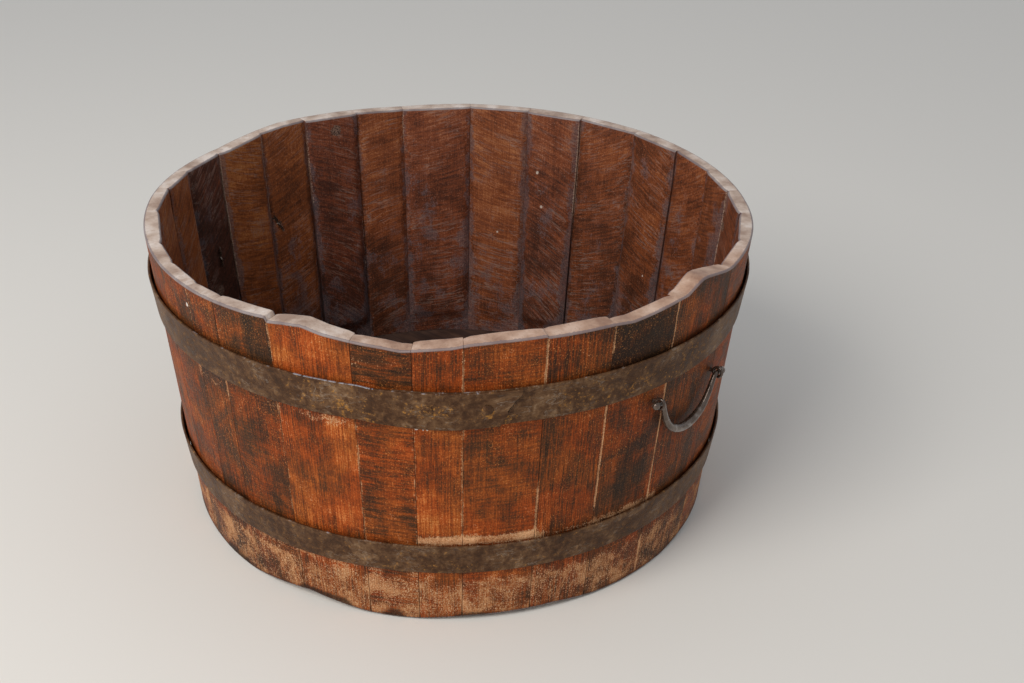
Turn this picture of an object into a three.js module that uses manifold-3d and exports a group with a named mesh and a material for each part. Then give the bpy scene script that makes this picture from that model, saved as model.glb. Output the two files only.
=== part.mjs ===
// A wooden tub planter: unequal tapered staves held by two riveted iron hoops, a boarded head let into a
// groove near the feet, and two iron bail handles, each hung from a pair of split-pin eyes.
//
// Millimetres, +Z up. The origin is the centre of the circle that the feet stand on. +X points at the front
// handle, and azimuths are degrees anticlockwise from it, seen from above.

import * as THREE from 'three';
import { mergeVertices } from 'three/addons/utils/BufferGeometryUtils.js';
import Module from 'manifold-3d';

const wasm = await Module();
wasm.setup();

// ---------------------------------------------------------------------------------------------------------
// Driving dimensions
// ---------------------------------------------------------------------------------------------------------

const GAP = 0.3; // left between two pieces that touch

// The tub
const HEIGHT = 328; // floor to rim, where the rim is neither worn nor proud
const RIM_RADIUS = 320; // outside of the staves at that height
const FOOT_RADIUS = 291; // outside of the staves at the floor
const RIM_EASE = 2.2; // bevel on both edges of the rim
const FOOT_EASE = 1.6; // bevel on both edges of the feet

// The staves: [width at the rim, thickness in the middle], anticlockwise from the one behind the front handle.
// A cooper's staves are all different. The widths are shared out, so that the ring closes at any size.
const FIRST_JOINT = -6.6; // azimuth of the joint before the first stave
const STAVES = [
  [95, 21], [70, 15], [81, 15], [65, 16], [62, 17], [70, 15], [74, 18], [83, 16], [73, 20], [79, 16],
  [89, 18], [64, 16], [72, 20], [68, 15], [75, 18], [68, 16], [56, 16], [64, 15], [82, 17], [50, 15],
  [59, 15], [43, 14], [68, 17], [82, 21], [55, 17], [46, 20], [75, 19], [67, 21], [76, 17],
];
const EDGE_BEVEL_WIDTH = 7; // each stave's inner face is bevelled off towards its joints
const EDGE_BEVEL_SHARE = 0.18; // depth of that bevel, as a share of the stave's thickness
const STAVE_STEP = 2.5; // widest step, in degrees, that a curved face is drawn with

// Wear, as [azimuth, mm]. The rim's heights are above or below HEIGHT, and the feet's above the floor.
const RIM_WEAR = [
  [-7, 4], [-4.2, 5], [-1.7, 12], [-0.4, 14.5], [1.2, 14], [4.8, 9.5], [8.3, 4.5], [11, 2], [22, 1.5],
  [44, -2], [60, -1], [84, 1], [128, 1], [144, -1], [174, 2.5], [191, -3], [221, 1], [251, -2], [265, -1],
  [277, 2], [281.2, 4], [281.6, 0], [284.5, 2.5], [288, 4.4], [291.5, 0], [296.5, -3], [301.5, -5.5],
  [304.5, -8], [308.5, -5.5], [312.5, -3.5], [315.5, 0], [320.5, 2], [327.6, 3], [328, 1.5], [339.5, 1.5],
  [343.5, -1], [348.5, 1.4],
];
const FOOT_WEAR = [
  [-12, 0], [3, 0], [11, 3], [30, 2], [55, 3], [68, 0], [76, 0], [100, 3], [125, 1], [142, 4], [160, 0],
  [170, 0], [190, 3], [205, 0], [212, 0], [235, 3], [250, 2], [260, 0], [268, 0], [275, 4], [283, 9], [289, 5],
  [295, 1], [300, 0], [306, 0], [316, 4], [333, 5], [342, 1],
];

// The head, and the groove (croze) that holds it
const HEAD_BOTTOM = 15.3; // underside of the head, above the floor
const HEAD_THICKNESS = 14;
const TONGUE_THICKNESS = 7.4; // the head's edge, thinned from above to go into the croze
const TONGUE_LENGTH = 8;
const TONGUE_BEVEL = 12; // width of the slope from the tongue up to the full thickness
const CHIME_THICKNESS = 13; // the staves' even thickness below the head
const CROZE_DEPTH = 6;
const HOWEL_BOTTOM = 40; // above the head the inside is hollowed from the even chime...
const HOWEL_TOP = 54; // ...to each stave's own thickness
const HEAD_BOARDS = [118, 104, 127, 111, 97]; // board widths, shared out over the head
const DOWEL_RADIUS = 4;
const DOWEL_LENGTH = 44;
const DOWEL_SPREAD = 0.55; // place of a joint's two dowels, as a share of the joint's half length

// The hoops
const HOOP_THICKNESS = 2.2;
const HOOP_STAND_OFF = 2; // a hoop's bottom edge bears on the staves and its top edge stands off this much
const HOOP_SEGMENTS = 96;
const HOOP_JOGGLE = 3; // degrees over which the outer end steps out onto the inner one
const DROOP_REACH = 14; // degrees to each side of the lap within which the strap droops
// innerEnd is the azimuth of the end underneath, lap is in degrees, slant is how many degrees further the outer
// end's top corner reaches, and the droops are how far the strap's two edges hang down at the lap.
const HOOPS = {
  upper: { bottom: 242.5, width: 39, innerEnd: -57, lap: 17.2, slant: 3.6, lowDroop: 3.6, highDroop: 1.8 },
  lower: { bottom: 64.5, width: 35, innerEnd: 122, lap: 16, slant: 0, lowDroop: 0, highDroop: 0 },
};
const RIVET_RADIUS = 3;
const RIVET_HEAD_RADIUS = 5.6;
const RIVET_HEAD_HEIGHT = 1.8;
const RIVET_PLACES = [0.32, 0.88]; // along the lap, as shares of it

// The bail handles and their eyes. Both were set by eye: height is the hinge axis above the floor, spacing is
// between the centres of the two eyes, tilt is how many degrees the handle hangs down to its right as seen from
// outside, and clench is how far the left and the right eye's opened legs lean, in degrees.
const HANDLES = {
  front: { azimuth: 0, height: 221, spacing: 103, tilt: 5, clench: [-6, 9] },
  rear: { azimuth: 189.5, height: 212, spacing: 108, tilt: 1.8, clench: [23, -4] },
};
const EYE_WIRE_RADIUS = 1.6;
const EYE_STAND_OFF = 2; // between the eye and the wall
const SHANK_RADIUS = 2.4; // the two halves of the split pin together, through the stave
const LEG_RADIUS = 1.4;
const LEG_LENGTH = 25; // tip to tip of the two legs, opened and clenched against the inner face
const BAIL_DROP = 42; // hinge axis to the centre line's lowest point
const BAIL_PIN_RADIUS = 2.4; // where it turns in the eyes
const PIN_PLAY = 0.8; // clear space round a pin in its eye
const EYE_RADIUS = BAIL_PIN_RADIUS + PIN_PLAY + EYE_WIRE_RADIUS; // of the eye's centre line
const BAIL_GRIP_RADIUS = 4.6; // in the middle
const BALL_RADIUS = 4.2;
const BALL_PLAY = 0.6; // clear space between an eye and the ball outside it
const BAIL_SIDES = 10;
const BALL_STEPS = 6;
const GRIP_STEPS = 28;

const WOOD = { color: 0x6b3418, roughness: 0.55, metalness: 0 };
const HEAD_WOOD = { color: 0x4a2a1a, roughness: 0.7, metalness: 0 };
const DARK_IRON = { color: 0x4a3d31, roughness: 0.6, metalness: 0.7 };
const STEEL = { color: 0x6e655e, roughness: 0.45, metalness: 0.8 };

// ---------------------------------------------------------------------------------------------------------
// Helpers
// ---------------------------------------------------------------------------------------------------------

const rad = THREE.MathUtils.degToRad;
const deg = THREE.MathUtils.radToDeg;
const sum = (numbers) => numbers.reduce((total, n) => total + n, 0);
const turned = (degrees) => THREE.MathUtils.euclideanModulo(degrees, 360);

// Outside radius of the staves at height z: the tub is a straight cone.
const wallRadius = (z) => FOOT_RADIUS + ((RIM_RADIUS - FOOT_RADIUS) * z) / HEIGHT;
const WALL_TILT = Math.atan((RIM_RADIUS - FOOT_RADIUS) / HEIGHT);

// The point at radius r, azimuth and height z.
const polar = (r, azimuth, z) => new THREE.Vector3(r * Math.cos(rad(azimuth)), r * Math.sin(rad(azimuth)), z);

// The value of a list of [azimuth, value] points at an azimuth, going round the circle.
function around(points, azimuth) {
  const first = points[0][0];
  const at = first + turned(azimuth - first);
  const next = points.findIndex(([place]) => place > at);
  const [a, low] = next < 0 ? points.at(-1) : points[next - 1];
  const [b, high] = next < 0 ? [first + 360, points[0][1]] : points[next];
  return low + ((high - low) * (at - a)) / (b - a);
}

// A closed solid through outlines of equal length. place(point, k) puts a point of outline k in space, and the
// outlines turn anticlockwise as seen against the direction in which the sections follow each other.
function loft(outlines, place) {
  const size = outlines[0].length;
  const last = (outlines.length - 1) * size;
  const positions = [];
  const index = [];
  outlines.forEach((outline, k) => {
    for (const point of outline) positions.push(...place(point, k).toArray());
  });
  for (let start = 0; start < last; start += size) {
    for (let i = 0; i < size; i += 1) {
      const a = start + i;
      const b = start + ((i + 1) % size);
      index.push(a, b + size, b, a, a + size, b + size);
    }
  }
  for (const [a, b, c] of THREE.ShapeUtils.triangulateShape(outlines[0], [])) {
    index.push(a, b, c);
  }
  for (const [a, b, c] of THREE.ShapeUtils.triangulateShape(outlines.at(-1), [])) {
    index.push(last + a, last + c, last + b);
  }
  const geometry = new THREE.BufferGeometry();
  geometry.setAttribute('position', new THREE.Float32BufferAttribute(positions, 3));
  geometry.setIndex(index);
  return geometry;
}

const outlineOf = (pairs) => pairs.map(([x, y]) => new THREE.Vector2(x, y));

// A geometry as a solid that can be joined and cut, and back again.
function solid(geometry) {
  const bare = geometry.clone();
  bare.deleteAttribute('normal');
  bare.deleteAttribute('uv');
  const merged = mergeVertices(bare, 1e-4);
  const vertProperties = new Float32Array(merged.getAttribute('position').array);
  const triVerts = new Uint32Array(merged.index.array);
  return new wasm.Manifold(new wasm.Mesh({ numProp: 3, vertProperties, triVerts }));
}

function geometryOf(body) {
  const { vertProperties, triVerts } = body.getMesh();
  const geometry = new THREE.BufferGeometry();
  geometry.setAttribute('position', new THREE.BufferAttribute(vertProperties, 3));
  geometry.setIndex(new THREE.BufferAttribute(triVerts, 1));
  return geometry;
}

// A round rod between two points.
function rod(from, to, radius, sides = 12) {
  const along = new THREE.Vector3().subVectors(to, from);
  const geometry = new THREE.CylinderGeometry(radius, radius, along.length(), sides);
  const up = new THREE.Vector3(0, 1, 0);
  geometry.applyQuaternion(new THREE.Quaternion().setFromUnitVectors(up, along.clone().normalize()));
  geometry.translate(...from.clone().addScaledVector(along, 0.5).toArray());
  return geometry;
}

function piece(name, geometry, finish) {
  const faceted = geometry.index ? geometry.toNonIndexed() : geometry;
  faceted.computeVertexNormals();
  const mesh = new THREE.Mesh(faceted, new THREE.MeshStandardMaterial(finish));
  mesh.name = name;
  return mesh;
}

// ---------------------------------------------------------------------------------------------------------
// Staves
// ---------------------------------------------------------------------------------------------------------

// Each stave's two joints and its thickness.
const staves = STAVES.map(([width, thickness], i) => {
  const scale = 360 / sum(STAVES.map(([w]) => w));
  const before = sum(STAVES.slice(0, i).map(([w]) => w));
  const start = FIRST_JOINT + before * scale;
  return { start, end: start + width * scale, thickness };
});

// Where a stave's sections are taken: at its two joints, where its edge bevels end, and evenly between those.
function stations({ start, end }) {
  const half = deg(GAP / 2 / FOOT_RADIUS);
  const bevel = deg(EDGE_BEVEL_WIDTH / RIM_RADIUS);
  const low = start + half + bevel;
  const high = end - half - bevel;
  const steps = Math.ceil((high - low) / STAVE_STEP);
  const between = Array.from({ length: steps + 1 }, (_, i) => low + ((high - low) * i) / steps);
  return [start + half, ...between, end - half];
}

const middleOf = ({ start, end }) => (start + end) / 2;

// Radius of a stave's inner face, which is flat across the stave.
function flatRadius(stave, azimuth, z) {
  return (wallRadius(z) - stave.thickness) / Math.cos(rad(azimuth - middleOf(stave)));
}

// The same, bevelled off at the stave's joints.
function innerRadius(stave, azimuth, z) {
  const toJoint = rad((stave.end - stave.start) / 2 - Math.abs(azimuth - middleOf(stave))) * RIM_RADIUS;
  const bevelled = THREE.MathUtils.clamp(1 - toJoint / EDGE_BEVEL_WIDTH, 0, 1);
  return flatRadius(stave, azimuth, z) + EDGE_BEVEL_SHARE * stave.thickness * bevelled;
}

const CROZE_BOTTOM = HEAD_BOTTOM - GAP;
const CROZE_TOP = HEAD_BOTTOM + TONGUE_THICKNESS + GAP;
const CROZE_RADIUS = wallRadius(CROZE_TOP) - CHIME_THICKNESS + CROZE_DEPTH;

// A stave's radial section: [radius, height] from the inner edge of the foot, anticlockwise.
function staveSection(stave, azimuth) {
  const top = HEIGHT + around(RIM_WEAR, azimuth);
  const foot = around(FOOT_WEAR, azimuth);
  const chime = (z) => wallRadius(z) - CHIME_THICKNESS;
  const inner = (z) => innerRadius(stave, azimuth, z);
  return outlineOf([
    [chime(foot) + FOOT_EASE, foot],
    [wallRadius(foot) - FOOT_EASE, foot],
    [wallRadius(foot + FOOT_EASE), foot + FOOT_EASE],
    [wallRadius(top - RIM_EASE), top - RIM_EASE],
    [wallRadius(top) - RIM_EASE, top],
    [inner(top) + RIM_EASE, top],
    [inner(top - RIM_EASE), top - RIM_EASE],
    [inner(HOWEL_TOP), HOWEL_TOP],
    [chime(HOWEL_BOTTOM), HOWEL_BOTTOM],
    [chime(CROZE_TOP), CROZE_TOP],
    [CROZE_RADIUS, CROZE_TOP],
    [CROZE_RADIUS, CROZE_BOTTOM],
    [chime(CROZE_BOTTOM), CROZE_BOTTOM],
    [chime(foot + FOOT_EASE), foot + FOOT_EASE],
  ]);
}

function staveGeometry(stave) {
  const places = stations(stave);
  const outlines = places.map((azimuth) => staveSection(stave, azimuth));
  return loft(outlines, ({ x, y }, k) => polar(x, places[k], y));
}

// ---------------------------------------------------------------------------------------------------------
// Head
// ---------------------------------------------------------------------------------------------------------

const HEAD_RADIUS = CROZE_RADIUS - 2 * GAP;
const HEAD_TOP = HEAD_BOTTOM + HEAD_THICKNESS;

// The joints between the head's boards, as [near, far] distances along Y.
const headBoards = HEAD_BOARDS.map((width, i) => {
  const scale = (2 * HEAD_RADIUS) / sum(HEAD_BOARDS);
  const near = -HEAD_RADIUS + sum(HEAD_BOARDS.slice(0, i)) * scale;
  return [near, near + width * scale];
});

function headDisc() {
  const profile = outlineOf([
    [0, HEAD_BOTTOM],
    [HEAD_RADIUS, HEAD_BOTTOM],
    [HEAD_RADIUS, HEAD_BOTTOM + TONGUE_THICKNESS],
    [HEAD_RADIUS - TONGUE_LENGTH, HEAD_BOTTOM + TONGUE_THICKNESS],
    [HEAD_RADIUS - TONGUE_LENGTH - TONGUE_BEVEL, HEAD_TOP],
    [0, HEAD_TOP],
  ]);
  return new THREE.LatheGeometry(profile, 72).rotateX(Math.PI / 2);
}

// The dowels that join board i to the next: their middles, and their direction is Y.
function dowelMiddles(i) {
  const joint = headBoards[i][1];
  const halfLength = Math.sqrt(HEAD_RADIUS ** 2 - joint ** 2);
  const height = HEAD_BOTTOM + HEAD_THICKNESS / 2;
  return [-1, 1].map((side) => new THREE.Vector3(side * DOWEL_SPREAD * halfLength, joint, height));
}

function dowelGeometry(middle, radius, length) {
  const half = new THREE.Vector3(0, length / 2, 0);
  return rod(middle.clone().sub(half), middle.clone().add(half), radius);
}

const dowels = headBoards.slice(0, -1).flatMap((_, i) => dowelMiddles(i));

function headBoardGeometry([near, far]) {
  const slab = new THREE.BoxGeometry(3 * HEAD_RADIUS, far - near - GAP, 3 * HEAD_TOP);
  slab.translate(0, (near + far) / 2, 0);
  let board = solid(headDisc()).intersect(solid(slab));
  for (const middle of dowels) {
    board = board.subtract(solid(dowelGeometry(middle, DOWEL_RADIUS + GAP, DOWEL_LENGTH + 2 * GAP)));
  }
  return geometryOf(board);
}

// ---------------------------------------------------------------------------------------------------------
// Hoops
// ---------------------------------------------------------------------------------------------------------

// The droop of a hoop's edges at an azimuth, from 0 to 1: a smooth dip round the middle of the lap.
function droopAt({ innerEnd, lap }, azimuth) {
  const away = turned(azimuth - innerEnd - lap / 2 + 180) - 180;
  return THREE.MathUtils.smoothstep(DROOP_REACH - Math.abs(away), 0, DROOP_REACH);
}

// A hoop is one strap that laps over its own inner end. Its sections are corners from the inner bottom one,
// anticlockwise, and its outer end is cut on a slant.
function hoopGeometry(hoop) {
  const { bottom, width, innerEnd, lap, slant, lowDroop, highDroop } = hoop;
  const step = 360 / HOOP_SEGMENTS;
  const flatten = 1 / Math.cos(rad(step / 2)); // keeps the middle of each flat clear of the staves
  const turn = 360 + lap;
  const joggle = [360 - 2 * HOOP_JOGGLE, 360 - HOOP_JOGGLE];
  const regular = Array.from({ length: Math.ceil(turn / step) }, (_, i) => i * step);
  const clear = regular.filter((place) => joggle.every((edge) => Math.abs(place - edge) > step / 4));
  const places = [...clear, ...joggle, turn].sort((a, b) => a - b);
  const sections = places.map((place) => {
    const over = THREE.MathUtils.smoothstep(place, joggle[0], joggle[1]);
    const dip = droopAt(hoop, innerEnd + place);
    const low = bottom - dip * lowDroop;
    const high = bottom + width - dip * highDroop;
    const out = GAP + over * (HOOP_THICKNESS + GAP);
    const foot = (wallRadius(low) + out) * flatten;
    const head = (wallRadius(high) + HOOP_STAND_OFF + out) * flatten;
    return outlineOf([
      [foot, low],
      [foot + HOOP_THICKNESS, low],
      [head + HOOP_THICKNESS, high],
      [head, high],
    ]);
  });
  const slanted = ({ y }, k) => (k === places.length - 1 ? (slant * (y - bottom)) / width : 0);
  return loft(sections, (point, k) => polar(point.x, innerEnd + places[k] + slanted(point, k), point.y));
}

// Where a hoop's rivets are: on the strap's inner face, square to it.
function rivetFrames({ bottom, width, innerEnd, lap }) {
  const z = bottom + width / 2;
  const tilt = WALL_TILT + Math.atan(HOOP_STAND_OFF / width);
  return RIVET_PLACES.map((share) => {
    const azimuth = innerEnd + lap * share;
    const place = polar(wallRadius(z) + HOOP_STAND_OFF / 2 + GAP, azimuth, z);
    return { tilt, azimuth, place };
  });
}

// A rivet along +X: a shank through both layers, with a domed head outside.
function rivetGeometry() {
  const seat = 2 * HOOP_THICKNESS + 3 * GAP;
  const dome = Array.from({ length: 5 }, (_, i) => {
    const angle = (i / 4) * (Math.PI / 2);
    return [RIVET_HEAD_RADIUS * Math.cos(angle), seat + RIVET_HEAD_HEIGHT * Math.sin(angle)];
  });
  const profile = outlineOf([[0, 2 * GAP], [RIVET_RADIUS, 2 * GAP], [RIVET_RADIUS, seat], ...dome]);
  profile.at(-1).x = 0;
  return new THREE.LatheGeometry(profile, 14).rotateZ(-Math.PI / 2);
}

function placeRivet(geometry, { tilt, azimuth, place }) {
  return geometry.rotateY(tilt).rotateZ(rad(azimuth)).translate(...place.toArray());
}

function rivetedHoop(hoop) {
  let strap = solid(hoopGeometry(hoop));
  for (const frame of rivetFrames(hoop)) {
    const reach = 4 * HOOP_THICKNESS;
    const hole = rod(new THREE.Vector3(-reach, 0, 0), new THREE.Vector3(2 * reach, 0, 0), RIVET_RADIUS + GAP);
    strap = strap.subtract(solid(placeRivet(hole, frame)));
  }
  return geometryOf(strap);
}

// ---------------------------------------------------------------------------------------------------------
// Handles. Each is drawn facing +X from the hinge axis's middle, with that axis along Y, and placed by a group.
// ---------------------------------------------------------------------------------------------------------

// X of a round wall of radius r, level with a handle's eyes.
const besideEye = (r, { spacing }) => Math.sqrt(r ** 2 - (spacing / 2) ** 2);
const EYE_REACH = EYE_STAND_OFF + EYE_WIRE_RADIUS + EYE_RADIUS;
const hingeX = (handle) => besideEye(wallRadius(handle.height), handle) + EYE_REACH;

// A handle's place on the tub, as a group that its pieces go into.
function handlePlace(handle) {
  const group = new THREE.Group();
  group.rotation.set(rad(-handle.tilt), 0, rad(handle.azimuth), 'ZYX');
  group.position.copy(polar(hingeX(handle), handle.azimuth, handle.height));
  group.updateMatrix();
  return group;
}

// An eye at side -1 or 1 of a handle: ring, shank through the stave, and two legs clenched along its inner face.
function eyeGeometry(handle, side) {
  const y = (side * handle.spacing) / 2;
  const height = handle.height - y * Math.sin(rad(handle.tilt));
  const azimuth = handle.azimuth + deg(Math.asin(y / wallRadius(height)));
  const stave = staves.find(({ start, end }) => turned(azimuth - start) < end - start);
  const at = stave.start + turned(azimuth - stave.start);
  const inside = besideEye(flatRadius(stave, at, height), handle) - hingeX(handle);
  const bend = new THREE.Vector3(inside - LEG_RADIUS - 2 * GAP, y, 0);
  const lean = rad(handle.clench[side < 0 ? 0 : 1] + handle.tilt);
  const turn = rad(turned(middleOf(stave) - handle.azimuth));
  const leg = new THREE.Vector3(0, Math.sin(lean), Math.cos(lean)).multiplyScalar(LEG_LENGTH / 2);
  leg.applyEuler(new THREE.Euler(0, WALL_TILT, turn, 'ZYX'));
  const ring = new THREE.TorusGeometry(EYE_RADIUS, EYE_WIRE_RADIUS, 8, 16).rotateX(Math.PI / 2);
  const shank = rod(bend, new THREE.Vector3(-EYE_RADIUS, y, 0), SHANK_RADIUS, 10);
  const legs = rod(bend.clone().sub(leg), bend.clone().add(leg), LEG_RADIUS, 8);
  return geometryOf(solid(ring.translate(0, y, 0)).add(solid(shank)).add(solid(legs)));
}

// The holes that a handle's shanks go through, in the tub's frame.
function eyeHoles(handle) {
  return [-1, 1].map((side) => {
    const y = (side * handle.spacing) / 2;
    const inside = new THREE.Vector3(-wallRadius(0) / 2, y, 0);
    const hole = rod(inside, new THREE.Vector3(0, y, 0), SHANK_RADIUS + GAP, 12);
    return solid(hole.applyMatrix4(handlePlace(handle).matrix));
  });
}

// A bail's centre line, hanging: out through one eye, down round the grip and out through the other.
function bailCurve({ spacing }) {
  const eye = spacing / 2;
  const half = [
    [eye + EYE_WIRE_RADIUS + BALL_PLAY + 2 * BALL_RADIUS, 0],
    [eye, 0],
    [0.9 * eye, -0.04 * BAIL_DROP],
    [0.84 * eye, -0.18 * BAIL_DROP],
    [0.75 * eye, -0.43 * BAIL_DROP],
    [0.56 * eye, -0.75 * BAIL_DROP],
    [0.28 * eye, -0.94 * BAIL_DROP],
  ];
  const left = half.map(([y, z]) => new THREE.Vector3(0, -y, z));
  const lowest = new THREE.Vector3(0, 0, -BAIL_DROP);
  const right = half.map(([y, z]) => new THREE.Vector3(0, y, z)).reverse();
  return new THREE.CatmullRomCurve3([...left, lowest, ...right], false, 'centripetal');
}

// Where a bail's sections are, along its length: close together round the balls and evenly between them.
function bailPlaces(length) {
  const ball = Array.from({ length: BALL_STEPS + 1 }, (_, i) => {
    return BALL_RADIUS * (1 - Math.cos(rad(15 + (135 * i) / BALL_STEPS)));
  });
  const start = ball.at(-1);
  const grip = Array.from({ length: GRIP_STEPS - 1 }, (_, i) => {
    return start + ((length - 2 * start) * (i + 1)) / GRIP_STEPS;
  });
  return [...ball, ...grip, ...ball.map((place) => length - place).reverse()];
}

// A rod that tapers from the grip to the pins, with a ball at each end.
function bailGeometry(handle) {
  const curve = bailCurve(handle);
  const length = curve.getLength();
  const places = bailPlaces(length);
  const radiusAt = (place) => {
    const fromEnd = Math.min(place, length - place);
    const ball = Math.sqrt(Math.max(0, BALL_RADIUS ** 2 - (BALL_RADIUS - fromEnd) ** 2));
    const taper = Math.sin((Math.PI * place) / length) ** 2;
    const shaft = BAIL_PIN_RADIUS + (BAIL_GRIP_RADIUS - BAIL_PIN_RADIUS) * taper;
    return fromEnd < BALL_RADIUS ? ball : Math.max(ball, shaft);
  };
  const corners = Array.from({ length: BAIL_SIDES }, (_, i) => (2 * Math.PI * i) / BAIL_SIDES);
  const circle = corners.map((angle) => new THREE.Vector2(Math.cos(angle), Math.sin(angle)));
  const outlines = places.map((place) => circle.map((corner) => corner.clone().multiplyScalar(radiusAt(place))));
  const across = new THREE.Vector3(1, 0, 0);
  return loft(outlines, ({ x, y }, k) => {
    const normal = new THREE.Vector3().crossVectors(curve.getTangentAt(places[k] / length), across);
    return curve.getPointAt(places[k] / length).addScaledVector(normal, x).addScaledVector(across, y);
  });
}

function handleGroup(name, handle) {
  const group = handlePlace(handle);
  group.add(piece(`bail_${name}`, bailGeometry(handle), STEEL));
  group.add(piece(`eye_${name}_left`, eyeGeometry(handle, -1), STEEL));
  group.add(piece(`eye_${name}_right`, eyeGeometry(handle, 1), STEEL));
  return group;
}

// ---------------------------------------------------------------------------------------------------------
// The tub
// ---------------------------------------------------------------------------------------------------------

const planter = new THREE.Group();

const holes = Object.values(HANDLES).flatMap(eyeHoles);
staves.forEach((stave, i) => {
  const wood = holes.reduce((body, hole) => body.subtract(hole), solid(staveGeometry(stave)));
  planter.add(piece(`stave_${String(i + 1).padStart(2, '0')}`, geometryOf(wood), WOOD));
});
headBoards.forEach((board, i) => {
  planter.add(piece(`head_board_${i + 1}`, headBoardGeometry(board), HEAD_WOOD));
});
dowels.forEach((middle, i) => {
  planter.add(piece(`dowel_${i + 1}`, dowelGeometry(middle, DOWEL_RADIUS, DOWEL_LENGTH), HEAD_WOOD));
});
for (const [name, hoop] of Object.entries(HOOPS)) {
  planter.add(piece(`hoop_${name}`, rivetedHoop(hoop), DARK_IRON));
  rivetFrames(hoop).forEach((frame, i) => {
    planter.add(piece(`rivet_${name}_${i + 1}`, placeRivet(rivetGeometry(), frame), DARK_IRON));
  });
}
for (const [name, handle] of Object.entries(HANDLES)) {
  planter.add(handleGroup(name, handle));
}

export default planter;
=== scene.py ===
# %% [markdown]
# # A wooden tub planter
# An old tub of unequal staves, held by two riveted iron hoops, with an iron bail handle on each side. The
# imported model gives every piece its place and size. This file gives the pieces their finer shape, wear and
# finish. A cell of text before each step says what it makes and why it is made that way.

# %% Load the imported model
import math

import bpy
import numpy as np
from mathutils import Matrix, Vector


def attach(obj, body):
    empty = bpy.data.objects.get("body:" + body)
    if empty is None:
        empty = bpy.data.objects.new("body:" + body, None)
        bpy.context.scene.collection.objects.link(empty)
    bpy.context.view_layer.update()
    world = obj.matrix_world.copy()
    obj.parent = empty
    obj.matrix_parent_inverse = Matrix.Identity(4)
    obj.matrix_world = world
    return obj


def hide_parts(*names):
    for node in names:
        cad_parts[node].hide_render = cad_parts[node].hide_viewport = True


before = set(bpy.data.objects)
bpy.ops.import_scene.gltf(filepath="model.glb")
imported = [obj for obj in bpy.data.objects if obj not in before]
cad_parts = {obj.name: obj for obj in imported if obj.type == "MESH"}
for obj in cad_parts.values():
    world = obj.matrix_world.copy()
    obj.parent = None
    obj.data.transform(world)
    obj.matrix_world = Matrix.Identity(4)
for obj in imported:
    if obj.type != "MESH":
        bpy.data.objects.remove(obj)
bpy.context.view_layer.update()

# %% [markdown]
# ## Sizes
# These are the tub's own sizes, in millimetres, as it was modelled. They are turned into metres where a
# mesh is made. Azimuths are degrees anticlockwise from the front handle, seen from above.

# %% The tub's sizes
MM = 0.001
GAP = 0.3  # between two pieces that touch
JOINT_GAP = 0.04  # between the finer staves, tight enough to keep the light out
HEIGHT, RIM_RADIUS, FOOT_RADIUS = 328, 320, 291
RIM_EASE, FOOT_EASE = 2.2, 1.6  # rounding of the rim and of the feet
FIRST_JOINT = -6.6
STAVES = [  # width and thickness, anticlockwise
    (95, 21), (70, 15), (81, 15), (65, 16), (62, 17), (70, 15), (74, 18), (83, 16), (73, 20), (79, 16),
    (89, 18), (64, 16), (72, 20), (68, 15), (75, 18), (68, 16), (56, 16), (64, 15), (82, 17), (50, 15),
    (59, 15), (43, 14), (68, 17), (82, 21), (55, 17), (46, 20), (75, 19), (67, 21), (76, 17),
]
EDGE_BEVEL_WIDTH, EDGE_BEVEL_SHARE = 7, 0.18
CHIME_THICKNESS, CROZE_DEPTH = 13, 6  # the thinned foot, and the groove that holds the head
CROZE_BOTTOM, CROZE_TOP = 15.0, 23.0
HOWEL_BOTTOM, HOWEL_TOP = 40, 54  # the slope down to the thinned foot


def wall(z):
    """Outside radius of the staves at height z."""
    return FOOT_RADIUS + (RIM_RADIUS - FOOT_RADIUS) * z / HEIGHT


WALL_TILT = math.atan((RIM_RADIUS - FOOT_RADIUS) / HEIGHT)
print("the wall leans out by", round(math.degrees(WALL_TILT), 2), "degrees")

# %% [markdown]
# No two staves have worn alike, so the rim rises and dips from one to the next, and some feet no longer
# reach the floor. The wear goes round the tub as a few points, and is read between them.

# %% Wear of the rim and of the feet, as azimuth and millimetres
RIM_WEAR = [
    (-7, 4), (-4.2, 5), (-1.7, 12), (-0.4, 14.5), (1.2, 14), (4.8, 9.5), (8.3, 4.5), (11, 2), (22, 1.5),
    (44, -2), (60, -1), (84, 1), (128, 1), (144, -1), (174, 2.5), (191, -3), (221, 1), (251, -2), (265, -1),
    (277, 2), (281.2, 4), (281.6, 0), (284.5, 2.5), (288, 4.4), (291.5, 0), (296.5, -3), (301.5, -5.5),
    (304.5, -8),
    (308.5, -5.5), (312.5, -3.5), (315.5, 0), (320.5, 2), (327.6, 3), (328, 1.5), (339.5, 1.5), (343.5, -1),
    (348.5, 1.4),
]
FOOT_WEAR = [
    (-12, 0), (3, 0), (11, 3), (30, 2), (55, 3), (68, 0), (76, 0), (100, 3), (125, 1), (142, 4), (160, 0),
    (170, 0), (190, 3), (205, 0), (212, 0), (235, 3), (250, 2), (260, 0), (268, 0), (275, 4), (283, 9),
    (289, 5), (295, 1), (300, 0), (306, 0), (316, 4), (333, 5), (342, 1),
]


def smooth(low, high, value):
    """Rises smoothly from 0 to 1 as the value goes from low to high."""
    share = np.clip((value - low) / (high - low), 0, 1)
    return share * share * (3 - 2 * share)


def around(wear, azimuth):
    """The wear at an azimuth, going round the circle."""
    return float(np.interp(azimuth, *zip(*wear), period=360))


widths = [width for width, _ in STAVES]
joints = FIRST_JOINT + 360 * np.cumsum([0] + widths) / sum(widths)
print("joints at", np.round(joints[:-1], 1).tolist())

# %% [markdown]
# ## Camera, floor and light
# The camera stands to the right of the front and looks down at the tub. It is placed by where it stands and
# by how it is turned, so that the view can be read from the numbers.

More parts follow.
